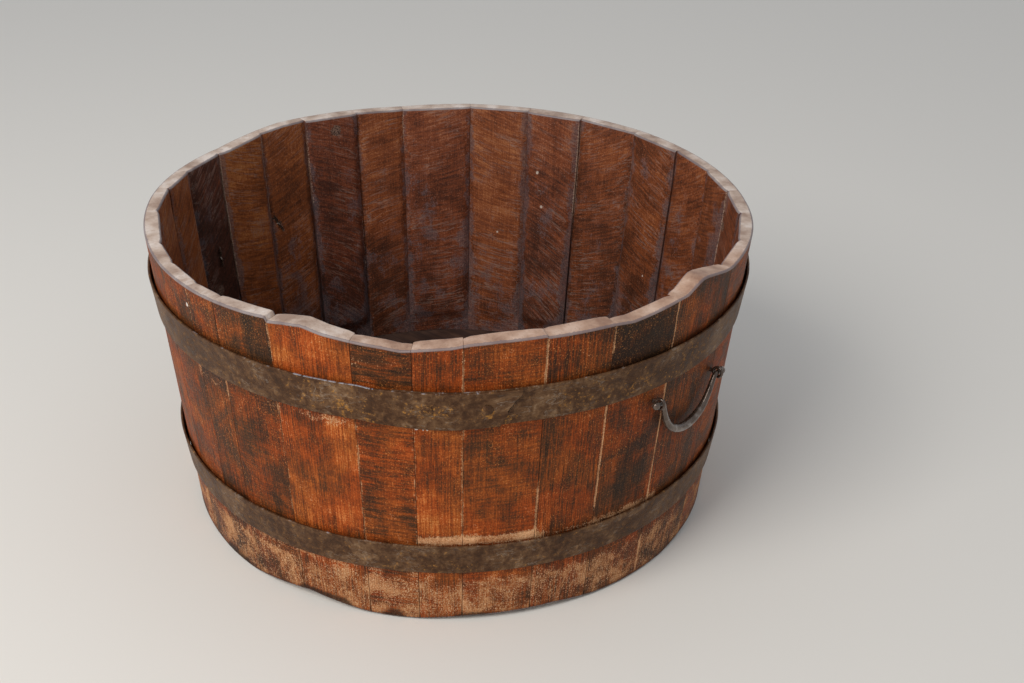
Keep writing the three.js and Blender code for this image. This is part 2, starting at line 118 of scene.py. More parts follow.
# %% Camera
STAND_AZIMUTH, STAND_DISTANCE, STAND_HEIGHT = -47.5, 1.341, 0.889  # degrees, and metres from the tub's axis
CAMERA_TURN, LOOK_DOWN, ROLL = 39.59, 28.61, 1.24  # degrees
SENSOR_WIDTH, LENS = 36, 47.5  # millimetres
camera = bpy.data.objects.new("camera", bpy.data.cameras.new("camera"))
camera.data.sensor_width, camera.data.lens = SENSOR_WIDTH, LENS
stand = math.radians(STAND_AZIMUTH)
camera.matrix_world = (
    Matrix.Translation((STAND_DISTANCE * math.cos(stand), STAND_DISTANCE * math.sin(stand), STAND_HEIGHT))
    @ Matrix.Rotation(math.radians(CAMERA_TURN), 4, "Z")
    @ Matrix.Rotation(math.radians(90 - LOOK_DOWN), 4, "X")
    @ Matrix.Rotation(math.radians(ROLL), 4, "Z")
)
scene = bpy.context.scene
scene.collection.objects.link(camera)
scene.camera = camera
print("camera at", [round(c, 3) for c in camera.matrix_world.translation])

# %% [markdown]
# Materials and Geometry Nodes are graphs of small nodes. This helper adds a node to a graph in one line: a
# value may be a number, a colour or the output of another node, which is then linked.

# %% A helper for node graphs
class Nodes:
    """A node tree, with short ways to add to it. A value may be a socket, and is then linked."""

    def __init__(self, tree):
        self.tree = tree

    def add(self, kind, inputs=None, **settings):
        node = self.tree.nodes.new(kind)
        for name, value in settings.items():
            setattr(node, name, value)
        for key, value in (inputs or {}).items():
            self.feed(node.inputs[key], value)
        return node

    def feed(self, socket, value):
        if isinstance(value, bpy.types.NodeSocket):
            self.tree.links.new(value, socket)
        else:
            socket.default_value = value

    def math(self, operation, *values, clamp=False):
        inputs = dict(enumerate(values))
        return self.add("ShaderNodeMath", inputs, operation=operation, use_clamp=clamp).outputs[0]

    def times(self, a, b):
        return self.math("MULTIPLY", a, b)

    def less(self, a, b, clamp=False):
        return self.math("SUBTRACT", a, b, clamp=clamp)

    def total(self, result, *others):
        for value in others:
            result = self.math("ADD", result, value)
        return result

    def vector(self, operation, *values):
        return self.add("ShaderNodeVectorMath", dict(enumerate(values)), operation=operation).outputs[0]

    def stretched(self, vector, factors):
        return self.vector("MULTIPLY", vector, factors)

    def scaled(self, vector, amount):
        return self.add("ShaderNodeVectorMath", {0: vector, "Scale": amount}, operation="SCALE").outputs[0]

    def split(self, vector):
        return self.add("ShaderNodeSeparateXYZ", {0: vector}).outputs

    def join(self, x, y, z):
        return self.add("ShaderNodeCombineXYZ", {0: x, 1: y, 2: z}).outputs[0]

    def noise(self, vector, scale, detail=2.0, roughness=0.5, distortion=0.0):
        inputs = {"Vector": vector, "Scale": scale, "Detail": detail, "Roughness": roughness}
        return self.add("ShaderNodeTexNoise", {**inputs, "Distortion": distortion}).outputs[0]

    def between(self, value, low, high, start=0.0, end=1.0):
        """Runs smoothly from start to end as the value goes from low to high."""
        inputs = {"Value": value, 1: low, 2: high, 3: start, 4: end}
        return self.add("ShaderNodeMapRange", inputs, interpolation_type="SMOOTHSTEP").outputs[0]


# %% [markdown]
# Old wood and iron get their colour in layers: a stain, then specks, bare patches, rust and dirt over it.
# So a finish here is a graph that remembers its colour so far, and each layer says where it lies, how
# strongly it covers, and its colour as a picture shows it.

# %% A helper for finishes
def paint(red, green, blue):
    """A colour as a picture shows it, 0 to 255, turned into the linear light that materials use."""
    linear = [c / 255 / 12.92 if c < 10.3 else ((c / 255 + 0.055) / 1.055) ** 2.4 for c in (red, green, blue)]
    return (*linear, 1.0)


class Finish(Nodes):
    """A material whose colour is laid on in layers."""

    def __init__(self, name):
        self.material = bpy.data.materials.new(name)
        self.material.use_nodes = True
        super().__init__(self.material.node_tree)
        self.shader = self.tree.nodes["Principled BSDF"].inputs
        self.colour = None

    def attribute(self, name, output="Fac"):
        return self.add("ShaderNodeAttribute", attribute_name=name).outputs[output]

    def object_place(self):
        return self.add("ShaderNodeTexCoord").outputs["Object"]

    def ramp(self, value, stops):
        """A colour for the value, from a list of (place, red, green, blue)."""
        node = self.add("ShaderNodeValToRGB", {0: value})
        elements = node.color_ramp.elements
        while len(elements) < len(stops):
            elements.new(0.5)
        for element, (place, *colour) in zip(elements, stops):
            element.position, element.color = place, paint(*colour)
        return node.outputs[0]

    def mix(self, share, a, b, blend="MIX"):
        inputs = {0: share, 6: a, 7: b}
        return self.add("ShaderNodeMix", inputs, data_type="RGBA", blend_type=blend).outputs[2]

    def cover(self, under, amount, strength, over):
        """Lays one colour over another, where the amount says."""
        over = paint(*over) if isinstance(over, tuple) else over
        return self.mix(self.times(amount, strength), under, over)

    def lay(self, amount, strength, over):
        self.colour = self.cover(self.colour, amount, strength, over)

    def swing(self, texture, amount):
        """A texture as a change of up to the amount, either way."""
        return self.between(texture, 0.3, 0.7, -amount, amount)

    def lines(self, texture, width, amount=1):
        """Thin lines, where a texture crosses its middle value."""
        return self.between(self.math("ABSOLUTE", self.less(texture, 0.5)), 0, width, amount, 0)

    def rubbed(self, amount, texture, spread=0.9):
        """A painted amount broken up by a texture into patches with ragged edges."""
        return self.between(self.total(amount, self.swing(texture, spread / 2)), 0.35, 0.65)

    def close_to(self, mark, texture):
        """1 on a painted mark and 0 away from it, with an edge made ragged by a texture."""
        way = {0: self.attribute(mark, "Vector")}
        away = self.add("ShaderNodeVectorMath", way, operation="LENGTH").outputs["Value"]
        return self.between(self.total(away, self.swing(texture, 0.3)), 1.2, 0.8)

    def done(self, roughness, relief, strength, depth, settings=()):
        """Feeds the shader. The depth is in millimetres, and the settings are the same all over."""
        self.feed(self.shader["Base Color"], self.colour)
        self.feed(self.shader["Roughness"], roughness)
        bump = self.add("ShaderNodeBump", {"Strength": strength, "Distance": depth * MM, "Height": relief})
        self.feed(self.shader["Normal"], bump.outputs[0])
        for label, value in dict(settings).items():
            self.shader[label].default_value = value
        print(self.material.name, "has", len(self.tree.nodes), "nodes")


# %% [markdown]
# The floor is plain and pale. One large soft lamp high on the left lights the outside and the far inner
# wall, and the pale surroundings do the rest, so that a colour renders about as it is written.

# %% Floor
FLOOR_SIZE, FLOOR_DROP = 40, 0.0005  # metres
pale_floor = Finish("pale_floor")
pale_floor.shader["Base Color"].default_value = paint(226, 222, 215)
pale_floor.shader["Roughness"].default_value = 0.9
bpy.ops.mesh.primitive_plane_add(size=FLOOR_SIZE, location=(0, 0, -FLOOR_DROP))
floor = bpy.context.object
floor.name = "floor"
floor.data.materials.append(pale_floor.material)

# %% Light
KEY_PLACE, KEY_SIZE, KEY_WATTS, KEY_COLOUR = (0.05, -2.25, 2.2), 1.6, 62, (1.0, 0.97, 0.93)
LIT_PLACE = (0, 0, 0.15)  # the middle of the tub
world = bpy.data.worlds.new("pale_room")
world.use_nodes = True
scene.world = world
room = Nodes(world.node_tree)
rays = room.add("ShaderNodeLightPath").outputs
room_light = world.node_tree.nodes["Background"]
room.feed(room_light.inputs["Color"], paint(238, 242, 248))
strength = room.math("MULTIPLY_ADD", rays["Is Camera Ray"], 0.45, 0.55)
room.feed(room_light.inputs["Strength"], room.math("MULTIPLY_ADD", rays["Is Glossy Ray"], 0.1, strength))
lamp = bpy.data.objects.new("key", bpy.data.lights.new("key", "AREA"))
lamp.data.shape, lamp.data.size, lamp.data.energy, lamp.data.color = "SQUARE", KEY_SIZE, KEY_WATTS, KEY_COLOUR
lamp.location = KEY_PLACE
lamp.rotation_euler = (Vector(LIT_PLACE) - Vector(KEY_PLACE)).to_track_quat("-Z", "Y").to_euler()
scene.collection.objects.link(lamp)

# %% [markdown]
# ## The wood
# The staves were stained and waxed over many years: orange-brown, smeared with darker varnish, combed with
# fine grain and with the marks of the saw, and rubbed to bare wood along edges. A flat colour would look
# like plastic, so the finish is built in layers. Each stave carries its own board coordinates (across,
# through and along the grain), so that no two staves are alike, and a distance from the saw's centre, which
# bends the saw marks. Where the wear sits is painted on the mesh as values, and fine noise breaks each
# painted area up.

# %% Textures that the faces of a board share
class BoardFinish(Finish):
    """Grain, smears, saw marks and specks on a board, each from 0 to 1 with 0.5 in the middle."""

    def __init__(self, name):
        super().__init__(name)
        self.board = self.attribute("board", "Vector")
        across, through, _ = self.split(self.board)
        self.sweep = self.join(self.attribute("sweep"), self.times(across, 0.07), through)
        self.cloud = self.noise(self.board, 15, 3, 0.5, 0.4)
        self.blotch = self.noise(self.stretched(self.board, (0.8, 1, 0.8)), 44, 8, 0.68, 0.3)
        self.hair = self.noise(self.stretched(self.board, (1, 1, 0.035)), 620, 3, 0.6)
        self.saw = self.noise(self.sweep, 430, 3, 0.6)
        self.speck = self.noise(self.board, 640, 3, 0.8)

    def stroked(self, hair, saw):
        """Brush and saw marks: along the board where strokes is 0 and across it where strokes is 1."""
        strokes = self.attribute("strokes")
        return self.total(self.times(saw, strokes), self.times(hair, self.less(1.0, strokes)))


# %% [markdown]
# Outside, the stain runs from nearly black to bright orange, and its hue wanders between amber and russet.
# Bare wood shows ochre where it is rubbed and nearly white where a joint was filled. Dirt goes on last,
# because it settled last.

# %% Outside finish
wood = BoardFinish("outside_wood")
outside_wood = wood.material
splits = wood.noise(wood.stretched(wood.board, (1, 1, 0.05)), 170, 4, 0.6, 0.2)
marks = wood.stroked(wood.swing(wood.hair, 0.22), wood.swing(wood.saw, 0.19))
blotches = wood.between(wood.blotch, 0.34, 0.65, -0.17, 0.15)
lightness = wood.total(wood.attribute("tone"), blotches, wood.swing(wood.cloud, 0.08), marks,
                       wood.swing(wood.speck, 0.12))
amber = wood.ramp(lightness, [
    (0, 46, 31, 20), (0.27, 80, 48, 26), (0.5, 126, 62, 24), (0.76, 168, 88, 34), (1, 204, 132, 70),
])
russet = wood.ramp(lightness, [
    (0, 44, 28, 19), (0.27, 82, 44, 23), (0.5, 130, 57, 19), (0.76, 170, 77, 27), (1, 204, 122, 64),
])
hue = wood.noise(wood.board, 13, 3, 0.6, 0.3)
wood.colour = wood.mix(wood.between(hue, 0.4, 0.6), amber, russet)
wood.lay(wood.lines(splits, 0.02), 0.3, (44, 26, 16))
wood.lay(wood.between(wood.speck, 0.38, 0.28), 0.45, (46, 30, 19))
flecks = wood.times(wood.between(wood.speck, 0.58, 0.67), wood.between(wood.cloud, 0.4, 0.6, 0.3, 1))
wood.lay(flecks, 0.7, (222, 150, 84))
worn = wood.attribute("worn")
bare = wood.rubbed(wood.total(worn, wood.swing(wood.blotch, 0.3)), wood.speck, 0.5)
ochre_wood = wood.ramp(wood.total(wood.blotch, wood.swing(wood.hair, 0.06)), [
    (0.38, 100, 64, 40), (0.5, 150, 100, 62), (0.62, 190, 138, 94),
])
pale_wood = wood.ramp(wood.blotch, [(0.36, 176, 112, 68), (0.6, 232, 178, 130)])
bare_wood = wood.mix(wood.between(worn, 0.5, 0.85), ochre_wood, pale_wood)
bare_wood = wood.cover(bare_wood, wood.between(wood.speck, 0.54, 0.64), 0.7, (236, 204, 166))
bare_wood = wood.cover(bare_wood, wood.between(wood.speck, 0.47, 0.35), 0.6, (96, 60, 36))
wood.lay(bare, 0.85, bare_wood)
wood.lay(wood.close_to("from_fleck", wood.speck), 0.9, (226, 216, 206))
wood.lay(wood.rubbed(wood.attribute("soot"), wood.speck, 0.6), 0.85, (34, 24, 18))
roughness = wood.total(wood.between(wood.blotch, 0.3, 0.7, 0.42, 0.6), wood.times(bare, 0.2))
relief = wood.total(wood.stroked(wood.hair, wood.saw), wood.blotch, wood.speck, wood.lines(splits, 0.03, -1))
wood.done(roughness, relief, strength=0.55, depth=0.4, settings={"Specular IOR Level": 0.12})

# %% [markdown]
# Inside, the wood is darker and scratched across, as the saw left it. Its wax has bloomed grey-blue along
# the joints and low down, so a film of that colour is rubbed over the stain, with a few knots.

# %% Inside finish
wood = BoardFinish("inside_wood")
inside_wood = wood.material
marks = wood.total(wood.swing(wood.hair, 0.07), wood.swing(wood.saw, 0.13))
# The tone value inside carries a painted shade low down and a painted highlight towards the rim.
lightness = wood.total(wood.attribute("tone"), wood.swing(wood.blotch, 0.1), wood.swing(wood.cloud, 0.09),
                       marks, wood.swing(wood.speck, 0.14))
red = wood.ramp(lightness, [(0, 34, 21, 17), (0.35, 76, 40, 28), (0.65, 122, 62, 38), (1, 168, 106, 74)])
ochre = wood.ramp(lightness, [(0, 38, 24, 15), (0.35, 86, 46, 24), (0.65, 136, 72, 32), (1, 184, 118, 62)])
wood.colour = wood.mix(wood.attribute("ochre"), red, ochre)
arcs = wood.noise(wood.sweep, 150, 4, 0.6, 0.3)
scratches = wood.times(wood.lines(arcs, 0.024), wood.between(wood.cloud, 0.4, 0.6))
wood.lay(scratches, 0.55, (150, 122, 108))
wood.lay(wood.between(wood.speck, 0.38, 0.28), 0.5, (32, 22, 18))
wood.lay(wood.between(wood.speck, 0.61, 0.7), 0.6, (164, 128, 108))
film = wood.rubbed(wood.total(wood.attribute("bloom"), wood.swing(wood.speck, 0.2)), wood.blotch, 1.0)
wood.lay(film, 0.45, wood.ramp(wood.speck, [(0.35, 46, 51, 57), (0.65, 94, 100, 108)]))
knot_wood = wood.ramp(wood.speck, [(0.45, 44, 30, 25), (0.6, 150, 124, 106)])
wood.lay(wood.close_to("from_knot", wood.blotch), 0.8, knot_wood)
wood.lay(wood.close_to("from_fleck", wood.speck), 0.9, (200, 184, 168))
wood.lay(wood.rubbed(wood.attribute("worn"), wood.speck), 0.75, (186, 158, 136))
wood.lay(wood.rubbed(wood.attribute("soot"), wood.speck, 0.5), 0.85, (26, 19, 17))
relief = wood.total(wood.saw, wood.blotch, scratches, wood.speck)
wood.done(wood.between(wood.blotch, 0.3, 0.7, 0.4, 0.6), relief, strength=0.6, depth=0.5,
          settings={"Specular IOR Level": 0.3})

# %% [markdown]
# The rim and the feet were sawn across and never stained. They are bare and greyed, tan where hands rub
# them, with a dark grey-blue painted shade and reflection along their rounded corners.

# %% Rim and foot finish
sawn = Finish("rim_wood")
rim_wood = sawn.material
board = sawn.attribute("board", "Vector")
cloud = sawn.noise(board, 36, 4, 0.6)
fibre = sawn.noise(sawn.stretched(board, (1, 0.4, 1)), 500, 4, 0.7)
grey = sawn.ramp(cloud, [(0.35, 152, 124, 106), (0.5, 188, 166, 150), (0.65, 214, 200, 190)])
sawn.colour = sawn.mix(sawn.attribute("tan"), grey, (0.86, 0.7, 0.6, 1), "MULTIPLY")
sawn.lay(sawn.between(fibre, 0.45, 0.3), 0.45, (120, 94, 78))
# Painted shade and reflection: dark grey-blue along the rounded corners of the rim and the feet.
sawn.lay(sawn.rubbed(sawn.attribute("painted_corner_shade"), fibre, 0.5), 0.7, (96, 88, 96))
sawn.lay(sawn.rubbed(sawn.attribute("soot"), fibre, 0.5), 0.8, (62, 48, 42))
sawn.done(sawn.between(cloud, 0.3, 0.7, 0.45, 0.65), fibre, strength=0.2, depth=0.3)

# %% [markdown]
# ## The staves
# A cooper shapes each stave as a flat board and then draws the boards into a ring. The mesh is made in the
# same order. First each board is laid out flat, with its cut ends, bevelled edges and the groove for the
# head. Then one Geometry Nodes tree, the same for all of them, wears the board down and bends it into its
# place. A board and a hoop are both an outline carried along a way and closed at its ends, so they share
# the helpers here.

# %% Meshes with values at their points
def values_of(mesh, label):
    """An attribute's value at every point."""
    data = np.empty(len(mesh.vertices), dtype=np.float32)
    mesh.attributes[label].data.foreach_get("value", data)
    return data


def set_values(mesh, label, values):
    """Writes an attribute at every point, from a number or a vector for each."""
    values = np.asarray(values, dtype=np.float32)
    kind, key = ("FLOAT_VECTOR", "vector") if values.ndim == 2 else ("FLOAT", "value")
    mesh.attributes.new(label, kind, "POINT").data.foreach_set(key, values.ravel())


def points_of(mesh):
    """Every point, in millimetres."""
    data = np.empty(3 * len(mesh.vertices), dtype=np.float32)
    mesh.vertices.foreach_get("co", data)
    return data.reshape(-1, 3) / MM


def closed_mesh(name, points, ring):
    """A skin over outlines of so many points each, which follow each other, and a face at both ends."""
    faces = []
    for start in range(0, len(points) - ring, ring):
        for i in range(ring):
            a, b = start + i, start + (i + 1) % ring
            faces.append((a, b, b + ring, a + ring))
    faces += [tuple(range(ring))[::-1], tuple(range(len(points) - ring, len(points)))]
    mesh = bpy.data.meshes.new(name)
    mesh.from_pydata(points, [], faces)
    return mesh


# %% [markdown]
# The outline of a board runs from the inner edge of its foot, up the outside and down the inside, with a
# row of points wherever the wear needs one. It is drawn anew at each azimuth, because the rim and the foot
# change there.

# %% The outline of a board
FOOT_ROWS, OUTSIDE_ROWS, RIM_ROWS, INSIDE_ROWS = 6, 84, 6, 70
HOWEL_SHARES = (0.25, 0.5, 0.75, 1)
CHIME_ROWS = (36, 31, 26)  # heights between the howel and the groove
RIM_BEVEL_LOSS = 0.6  # the share of the bevel that has worn away at the rim
RIM_BEVEL_FROM, RIM_BEVEL_TO = HEIGHT - 45, HEIGHT - 5
EASE = [(1 - math.sin(t), 1 - math.cos(t)) for t in np.linspace(0, np.pi / 2, 5)[1:-1]]  # a quarter turn


def outline(azimuth, middle, half, thickness):
    """Rows of depth behind the outer face, height, and which side the point is on."""
    top, foot = HEIGHT + around(RIM_WEAR, azimuth), around(FOOT_WEAR, azimuth)
    off = math.radians(azimuth - middle)
    to_joint = math.radians(half - abs(azimuth - middle)) * RIM_RADIUS
    bevel = EDGE_BEVEL_SHARE * thickness * min(max(1 - to_joint / EDGE_BEVEL_WIDTH, 0), 1)

    def face(z):
        at_rim = smooth(RIM_BEVEL_FROM, RIM_BEVEL_TO, z)
        return wall(z) - (wall(z) - thickness) / math.cos(off) - bevel * (1 - RIM_BEVEL_LOSS * at_rim)

    inner, howel = face(top), face(HOWEL_TOP)
    rows = [(d, foot, "foot") for d in np.linspace(CHIME_THICKNESS - FOOT_EASE, FOOT_EASE, FOOT_ROWS)]
    rows += [(FOOT_EASE * s, foot + FOOT_EASE * c, "foot") for s, c in EASE]
    rows += [(0, z, "out") for z in np.linspace(foot + FOOT_EASE, top - RIM_EASE, OUTSIDE_ROWS)]
    rows += [(RIM_EASE * c, top - RIM_EASE * s, "rim") for s, c in EASE]
    rows += [(d, top, "rim") for d in np.linspace(RIM_EASE, inner - RIM_EASE, RIM_ROWS)]
    rows += [(inner - RIM_EASE * s, top - RIM_EASE * c, "rim") for s, c in EASE]
    rows += [(face(z), z, "in") for z in np.linspace(top - RIM_EASE, HOWEL_TOP, INSIDE_ROWS)]
    rows += [(howel + (CHIME_THICKNESS - howel) * t, HOWEL_TOP + (HOWEL_BOTTOM - HOWEL_TOP) * t, "in")
             for t in HOWEL_SHARES]
    groove = wall(CROZE_TOP) - CHIME_THICKNESS + CROZE_DEPTH
    rows += [(CHIME_THICKNESS, z, "in") for z in (*CHIME_ROWS, CROZE_TOP)]
    rows += [(wall(z) - groove, z, "in") for z in (CROZE_TOP, CROZE_BOTTOM)]
    rows += [(CHIME_THICKNESS, z, "in") for z in (CROZE_BOTTOM, (CROZE_BOTTOM + foot) / 2, foot + FOOT_EASE)]
    return rows, top, foot


# %% A flat board as a mesh
EDGE_COLUMNS = [0, 0.3, 0.8, 1.5, 2.6, 4.5, 7]  # millimetres from the joint, close together where it wears
COLUMN_STEP = 3.2  # between the edges
SIDES = {"out": 0, "in": 1, "rim": 2, "foot": 2}  # the material of each side of a stave


def flat_board(name, start, end, thickness):
    """A board laid flat: X across it, Y through it from its outer face, Z up it."""
    middle, half = (start + end) / 2, (end - start) / 2
    reach = math.radians(half) * RIM_RADIUS - JOINT_GAP / 2
    inside = reach - EDGE_COLUMNS[-1]
    count = math.ceil(2 * inside / COLUMN_STEP)
    offsets = [e - reach for e in EDGE_COLUMNS] + list(np.linspace(-inside, inside, count + 1)[1:-1])
    offsets += [reach - e for e in reversed(EDGE_COLUMNS)]
    points, values = [], []
    for offset in offsets:
        rows, top, foot = outline(middle + math.degrees(offset / RIM_RADIUS), middle, half, thickness)
        for depth, z, side in rows:
            points.append((offset * MM, depth * MM, z * MM))
            on_side = [side == label for label in ("out", "rim", "foot")]
            values.append((reach - abs(offset), top - z, z - foot, *on_side, SIDES[side]))
    mesh = closed_mesh(name, points, len(rows))
    labels = ("to_joint", "below_rim", "above_foot", "outer", "rim", "foot", "side")
    for label, column in zip(labels, zip(*values)):
        set_values(mesh, label, column)
    return mesh


# %% [markdown]
# Geometry Nodes suit whatever repeats with other sizes: a tree is drawn once, its sizes are named inputs,
# and it is run on one mesh after the other. What comes out is kept as a plain mesh, so that nothing hangs
# on the tree afterwards. What several trees do, such as battering a surface, is written here once.

# %% A helper for Geometry Nodes trees
class Shape(Nodes):
    """A Geometry Nodes tree with named sizes as inputs, besides a Geometry and a Material."""

    def __init__(self, name, sizes):
        super().__init__(bpy.data.node_groups.new(name, "GeometryNodeTree"))
        kinds = {"Geometry": "Geometry", **dict.fromkeys(sizes, "Float"), "Material": "Material"}
        for label, kind in kinds.items():
            self.tree.interface.new_socket(label, in_out="INPUT", socket_type="NodeSocket" + kind)
        self.tree.interface.new_socket("Geometry", in_out="OUTPUT", socket_type="NodeSocketGeometry")
        self.inputs = self.add("NodeGroupInput").outputs

    def step(self, kind, **inputs):
        return self.add("GeometryNode" + kind, inputs).outputs[0]

    def named(self, label, kind="FLOAT"):
        """An attribute of the mesh, by name."""
        return self.add("GeometryNodeInputNamedAttribute", {"Name": label}, data_type=kind).outputs[0]

    def uneven(self, place, amount, scale, *detail):
        """Noise as a change of up to half the amount, either way."""
        return self.times(self.less(self.noise(place, scale, *detail), 0.5), amount)

    def battered(self, geometry, amount, scale):
        """Pushes a surface in and out along its normals."""
        push = self.scaled(self.step("InputNormal"), self.uneven(self.step("InputPosition"), amount, scale))
        return self.step("SetPosition", Geometry=geometry, Offset=push)

    def close(self, geometry):
        """Ends the tree in Realize Instances and Set Material."""
        real = self.step("RealizeInstances", Geometry=geometry)
        coated = self.step("SetMaterial", Geometry=real, Material=self.inputs["Material"])
        self.add("NodeGroupOutput", {0: coated})
        print("tree", self.tree.name, "has", len(self.tree.nodes), "nodes")

    def grow(self, name, mesh, sizes):
        """Runs the tree on a mesh, and returns what it makes as a plain mesh object."""
        holder = bpy.data.objects.new(name + "_blank", mesh)
        scene.collection.objects.link(holder)
        modifier = holder.modifiers.new("shape", "NODES")
        modifier.node_group = self.tree
        for item in self.tree.interface.items_tree:
            if item.in_out == "INPUT" and item.name in sizes:
                modifier[item.identifier] = sizes[item.name]
        grown = holder.evaluated_get(bpy.context.evaluated_depsgraph_get())
        result = bpy.data.meshes.new_from_object(grown)
        bpy.data.objects.remove(holder)
        result.name = name
        piece = bpy.data.objects.new(name, result)
        scene.collection.objects.link(piece)
        return piece


# %% [markdown]
# The tree that wears a board takes its long outer edges down unevenly by Rounding, as handling does.
# Unevenness lets the outer face sink and swell, and Chipping nibbles the rim and the foot. The board is
# only ever worn inwards, so that it stays clear of the hoops. Then it is bent round the tub's axis.

# %% The tree that wears a board and bends it into the ring
cooper = Shape("cooper", [
    "Middle", "Foot Radius", "Slope", "Rim Radius", "Rounding", "Unevenness", "Chipping", "Seed",
])
sizes = cooper.inputs
across, through, up = cooper.split(cooper.step("InputPosition"))
outer, on_rim, on_foot = (cooper.named(label) for label in ("outer", "rim", "foot"))
spot = cooper.join(cooper.total(across, cooper.times(sizes["Seed"], 3.1)), through, up)
ragged = cooper.noise(spot, 60, 3, 0.6)
joint = cooper.times(cooper.named("to_joint"), MM)
near = cooper.less(1, cooper.math("DIVIDE", joint, sizes["Rounding"]), clamp=True)
drop = cooper.less(1, cooper.math("SQRT", cooper.less(1, cooper.times(near, near))))
rounding = cooper.times(cooper.times(drop, sizes["Rounding"]), cooper.between(ragged, 0.3, 0.7, 0.4, 1.3))
swell = cooper.noise(cooper.stretched(spot, (1, 1, 0.4)), 22, 2, 0.5)
sink = cooper.total(rounding, cooper.times(swell, sizes["Unevenness"]))
through = cooper.math("MULTIPLY_ADD", sink, outer, through)
nibble = cooper.between(cooper.noise(spot, 95, 4, 0.65), 0.45, 0.8)
nibble = cooper.times(nibble, sizes["Chipping"])
up = cooper.less(up, cooper.times(on_rim, cooper.math("MULTIPLY_ADD", rounding, 0.8, nibble)))
up = cooper.math("MULTIPLY_ADD", cooper.times(nibble, 2.5), on_foot, up)
radius = cooper.less(cooper.math("MULTIPLY_ADD", up, sizes["Slope"], sizes["Foot Radius"]), through)
turn = cooper.total(sizes["Middle"], cooper.math("DIVIDE", across, sizes["Rim Radius"]))
bent = (cooper.times(radius, cooper.math(ratio, turn)) for ratio in ("COSINE", "SINE"))
cooper.close(cooper.step("SetPosition", Geometry=sizes["Geometry"], Position=cooper.join(*bent, up)))

# %% [markdown]
# The wear is painted on each stave as values at its points: how light the stain is, with a painted shade low
# inside and a painted highlight towards the rim inside; where it is rubbed to bare wood, where soot and dirt
# have settled, where the wax has bloomed grey-blue, and the painted shade of the rim's corners. Most of it
# follows from where a point is, such as dirt along the joints. The rest is a short list of marks, each with
# its place and size.

# %% Look of each stave: tone runs from 0, nearly black, to 1, bright orange
OUTSIDE_TONE = [
    0.31, 0.44, 0.46, 0.40, 0.55, 0.48, 0.36, 0.52, 0.60, 0.42, 0.50, 0.58, 0.38, 0.50, 0.46, 0.56, 0.44,
    0.48, 0.52, 0.46, 0.36, 0.31, 0.35, 0.55, 0.46, 0.54, 0.54, 0.43, 0.38,
]
OUTSIDE_STROKES = [  # how far the brush went across the board and not along it
    0.1, 0.8, 0.3, 0.9, 0.2, 0.7, 0.4, 0.8, 0.1, 0.9, 0.3, 0.6, 0.8, 0.2, 0.5, 0.1, 0.9, 0.3, 0.7, 0.2,
    0.3, 0.2, 0.4, 0.15, 0.95, 0.25, 0.5, 0.05, 0.4,
]
INSIDE_TONE = [
    0.50, 0.46, 0.52, 0.50, 0.50, 0.54, 0.46, 0.48, 0.54, 0.60, 0.56, 0.57, 0.44, 0.54, 0.58, 0.24, 0.58,
    0.60, 0.46, 0.52, 0.40, 0.55, 0.48, 0.50, 0.44, 0.52, 0.47, 0.50, 0.46,
]
INSIDE_OCHRE = [
    0.3, 0.5, 0.2, 0.4, 0.6, 0.5, 0.6, 0.5, 0.3, 0.5, 0.2, 0.5, 0.1, 0.9, 1.0, 0.2, 0.8, 0.7, 0.4, 0.3,
    0.5, 0.2, 0.6, 0.3, 0.5, 0.1, 0.4, 0.3, 0.5,
]

# %% Marks: patches as (from azimuth, to azimuth, from height, to height, strength)
OUTSIDE_PATCHES = [  # lighter above 0 and darker below it
    (296.3, 306.1, 281, 345, -0.19), (281.6, 296.3, 281, 345, 0.02), (276, 281.6, 281, 345, -0.18),
    (339.8, 353.4, 270, 345, -0.34), (306.1, 314.3, 281, 345, -0.14), (327.8, 339.8, 281, 345, -0.13),
    (314.3, 327.8, 281, 345, -0.09), (291, 296.3, 110, 235, 0.12), (285, 290, 190, 240, -0.1),
    (273, 281, 185, 240, -0.06), (253, 262, 110, 170, 0.06), (318, 325, 190, 238, -0.14),
    (306.1, 314.4, 110, 160, 0.1), (344, 351, 120, 190, -0.16), (297, 301, 130, 170, -0.08),
    (356, 4, 281, 330, 0.08), (308, 314, 281, 300, 0.1), (329, 336, 285, 300, 0.1),
    (272, 277, 110, 170, 0.08),
]
WORN_PATCHES = [  # rubbed to bare wood
    (306.1, 328, 98, 109, 0.95), (328, 356, 96, 104, 0.6), (279, 296, 230, 241, 0.36),
    (260.8, 269.4, 226, 241, 0.34), (262, 306, 58, 66, 0.3), (306, 352, 20, 50, 0.06),
    (285, 300, 15, 55, 0.06), (258, 268, 12, 50, 0.1),
]
FOOT_STAINS = [  # where the feet stood damp
    (281, 292, -5, 15, 0.6), (258, 266, -5, 12, 0.45), (299.5, 303, -5, 14, 0.5), (232, 246, -5, 18, 0.5),
    (313, 319, -5, 9, 0.4),
]
INSIDE_PATCHES = [  # like OUTSIDE_PATCHES
    (118, 127, 180, 235, 0.16), (116, 127, 270, 300, 0.08), (102, 112, 120, 200, -0.1),
    (145, 155, 60, 160, -0.08), (197, 205, 230, 330, -0.08), (181, 193, 200, 240, 0.08),
    (88, 96, 250, 310, 0.08), (74, 84, 150, 290, 0.06),
]
BLOOM_PATCHES = [  # wax bloomed grey-blue
    (136, 142, 140, 230, 0.34), (105, 110, 160, 240, 0.32), (129, 134, 120, 190, 0.22),
    (66, 71, 150, 260, 0.3), (150, 155, 120, 200, 0.24), (173, 177, 60, 200, 0.4), (46, 53, 150, 330, 0.42),
    (80, 84, 240, 300, 0.25), (92, 97, 100, 170, 0.2), (156, 160, 190, 260, 0.2),
]
HAND_PATCHES = [(297, 20, 260, 360, 1)]  # the rim tanned by hands

